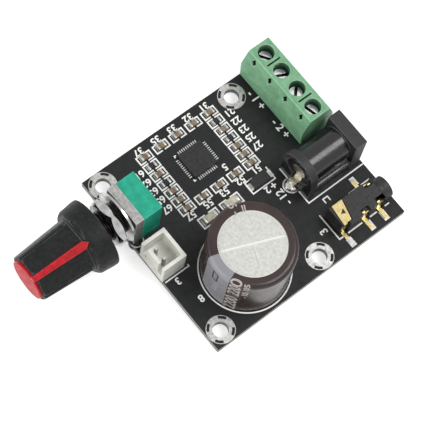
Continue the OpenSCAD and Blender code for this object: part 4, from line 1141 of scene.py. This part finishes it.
def make_bushing():
    axis, found = bushing_measures()
    ends = sorted(found, reverse=True)
    back_y, face_y, collar_y, front_y = *ends[:3], ends[-1]
    bore = min(min(radii) for radii in found.values())
    spigot, collar, outer = [max(found[y]) for y in (back_y, face_y, front_y)]
    length = collar_y - front_y
    count = int(length / THREAD_PITCH * THREAD_STEPS)
    rows = [(back_y, bore, 0), (back_y, spigot, 0), (face_y, spigot, 0), (face_y, collar, 0), (collar_y, collar, 0)]
    rows += [(collar_y - length * i / count, outer, THREAD_DEPTH) for i in range(count)]
    rows += [(front_y, outer - THREAD_DEPTH, 0), (front_y, bore, 0)]
    bm = bmesh.new()
    rings = []
    for y, radius, depth in rows:
        ring = []
        for k in range(ROUND_STEPS):
            a = 2 * math.pi * k / ROUND_STEPS
            r = radius - depth * (0.5 - 0.5 * math.cos(2 * math.pi * (collar_y - y) / THREAD_PITCH - a))
            ring.append(bm.verts.new(spot(axis.x + r * math.cos(a), y, axis.z + r * math.sin(a))))
        rings.append(ring)
    skin(bm, rings)
    finish_piece(bm, "pot_bushing_threaded", "bushing_metal", "bushing_metal", "pot_bushing")
    print("bushing rings:", len(rings), "radii:", bore, spigot, collar, outer)


make_bushing()

# %% [markdown]
# ## The capacitor's sleeve
# The brown sleeve has a grey stripe down one side and over the rim, with an outlined minus sign, to mark the
# negative lead. It is print on a shrunk film, so it belongs in the material: the stripe is where the angle
# round the can's axis is small, and the sign is a small box across and up it.

# %% Stripe and sign
STRIPE_TURN = math.radians(89.5)
STRIPE_HALF = math.radians(20)
SIGN_Z = 11.1
SIGN_HALF = (0.8, 1.95)
SIGN_LINE = 0.36

tree = finishes["sleeve_brown"].node_tree
at = place_on(tree, spot(CAN_X, CAN_Y, SIGN_Z), STRIPE_TURN)
stripe = within(tree, calc(tree, "ARCTAN2", at["Y"], at["X"]), STRIPE_HALF)
overlay("sleeve_brown", stripe, (142, 142, 147))
outer, inner = [
    calc(tree, "MULTIPLY", *[within(tree, at[axis], (half - less) * MM) for axis, half in zip("YZ", SIGN_HALF)])
    for less in (0.0, SIGN_LINE)
]
sign = calc(tree, "SUBTRACT", calc(tree, "MULTIPLY", outer, stripe), inner, clamp=True)
overlay("sleeve_brown", sign, (70, 66, 72))
print("sleeve stripe half angle:", round(math.degrees(STRIPE_HALF)))

# %% [markdown]
# Beside the stripe the film carries figures that run up the can. They are flat figures like those on the
# board, cut into small triangles so that they can follow the curve, and wrapped round the can's axis.

# %% Figures wrapped round the sleeve
SLEEVE_LINES = (
    ("2200 2200", 2.5, -60.0, 15.1), ("- 105 105", 1.2, -46.0, 14.6), ("105 -", 1.7, 169.0, 16.4),
    ("50 =", 1.9, 156.0, 16.3),
)
SLEEVE_ROUND = 1.1
LONGEST = 0.4
CUTS = 3
sleeve_low, sleeve_high = board_box("capacitor_sleeve")
SLEEVE_R = (sleeve_high.x - sleeve_low.x) / 2
SLEEVE_STRAIGHT = sleeve_high.z - SLEEVE_ROUND


def on_sleeve(along, bearing, out):
    """A point a distance up the sleeve and over its rounded rim, at a bearing, a little outside."""
    past = along - SLEEVE_STRAIGHT
    over = min(max(past / SLEEVE_ROUND, 0.0), math.pi / 2)
    inward = max(past - SLEEVE_ROUND * math.pi / 2, 0.0)
    r = SLEEVE_R - SLEEVE_ROUND + (SLEEVE_ROUND + out) * math.cos(over) - inward
    z = min(along, SLEEVE_STRAIGHT) + (SLEEVE_ROUND + out) * math.sin(over)
    return spot(CAN_X + r * math.cos(bearing), CAN_Y + r * math.sin(bearing), z)


def wrap_figure(bm, text, height, bearing, end):
    """Prints a text up the sleeve, its middle line at a bearing in degrees, its end a distance up."""
    mesh = flat_figure(text, height)
    flat = bmesh.new()
    flat.from_mesh(mesh)
    bmesh.ops.remove_doubles(flat, verts=flat.verts, dist=WELD)
    bmesh.ops.triangulate(flat, faces=flat.faces)
    for _ in range(CUTS):
        long = [edge for edge in flat.edges if edge.calc_length() > LONGEST]
        bmesh.ops.subdivide_edges(flat, edges=long, cuts=1)
        bmesh.ops.triangulate(flat, faces=flat.faces)
    shift = end - max(vert.co.x for vert in flat.verts)
    for vert in flat.verts:
        along, up, out = vert.co
        vert.co = on_sleeve(along + shift, math.radians(bearing) - up / SLEEVE_R, out)
    flat.to_mesh(mesh)
    flat.free()
    bm.from_mesh(mesh)
    bpy.data.meshes.remove(mesh)


sleeve_figures = bmesh.new()
for line in SLEEVE_LINES:
    wrap_figure(sleeve_figures, *line)
finish_piece(sleeve_figures, "sleeve_figures", "sleeve_print", "sleeve_brown")

# %% [markdown]
# ## The capacitor's bare end
# The can's end is dull. Its score lines were pressed in later and get a painted highlight, one more than the other,
# and so does the bead along the sleeve's opening. The lines are grooves in the solid, so the slope of the surface
# tells where they are; the bead is told by the distance from the can's axis.

# %% Painted highlights on score lines and bead
RIM_HIGHLIGHT_W = 0.24
RIM_DEPTH = 0.5
LEVEL = 0.99
SCORE_TURN = math.radians(68)
SCORE_HALF = 0.35
FAINT_SCORE_HIGHLIGHT = 0.3

tree = finishes["can_aluminium"].node_tree
rim = [on_board(vert.co) for vert in nodes["capacitor_sleeve"].data.vertices]
opening = min(math.hypot(point.x - CAN_X, point.y - CAN_Y) for point in rim if point.z > can_high.z - RIM_DEPTH)
at = place_on(tree, spot(CAN_X, CAN_Y), -SCORE_TURN)
strength = calc(tree, "MAXIMUM", within(tree, at["Y"], SCORE_HALF * MM), FAINT_SCORE_HIGHLIGHT)
score_highlight = calc(tree, "MULTIPLY", calc(tree, "LESS_THAN", upward(tree), LEVEL), strength)
bead = calc(tree, "GREATER_THAN", square_reach(tree, at["X"], at["Y"]), ((opening - RIM_HIGHLIGHT_W) * MM) ** 2)
# painted highlight: the score lines and the rim bead are coloured paler
overlay("can_aluminium", calc(tree, "MAXIMUM", score_highlight, bead), (224, 225, 218))
print("opening in the sleeve, radius:", round(opening, 2))
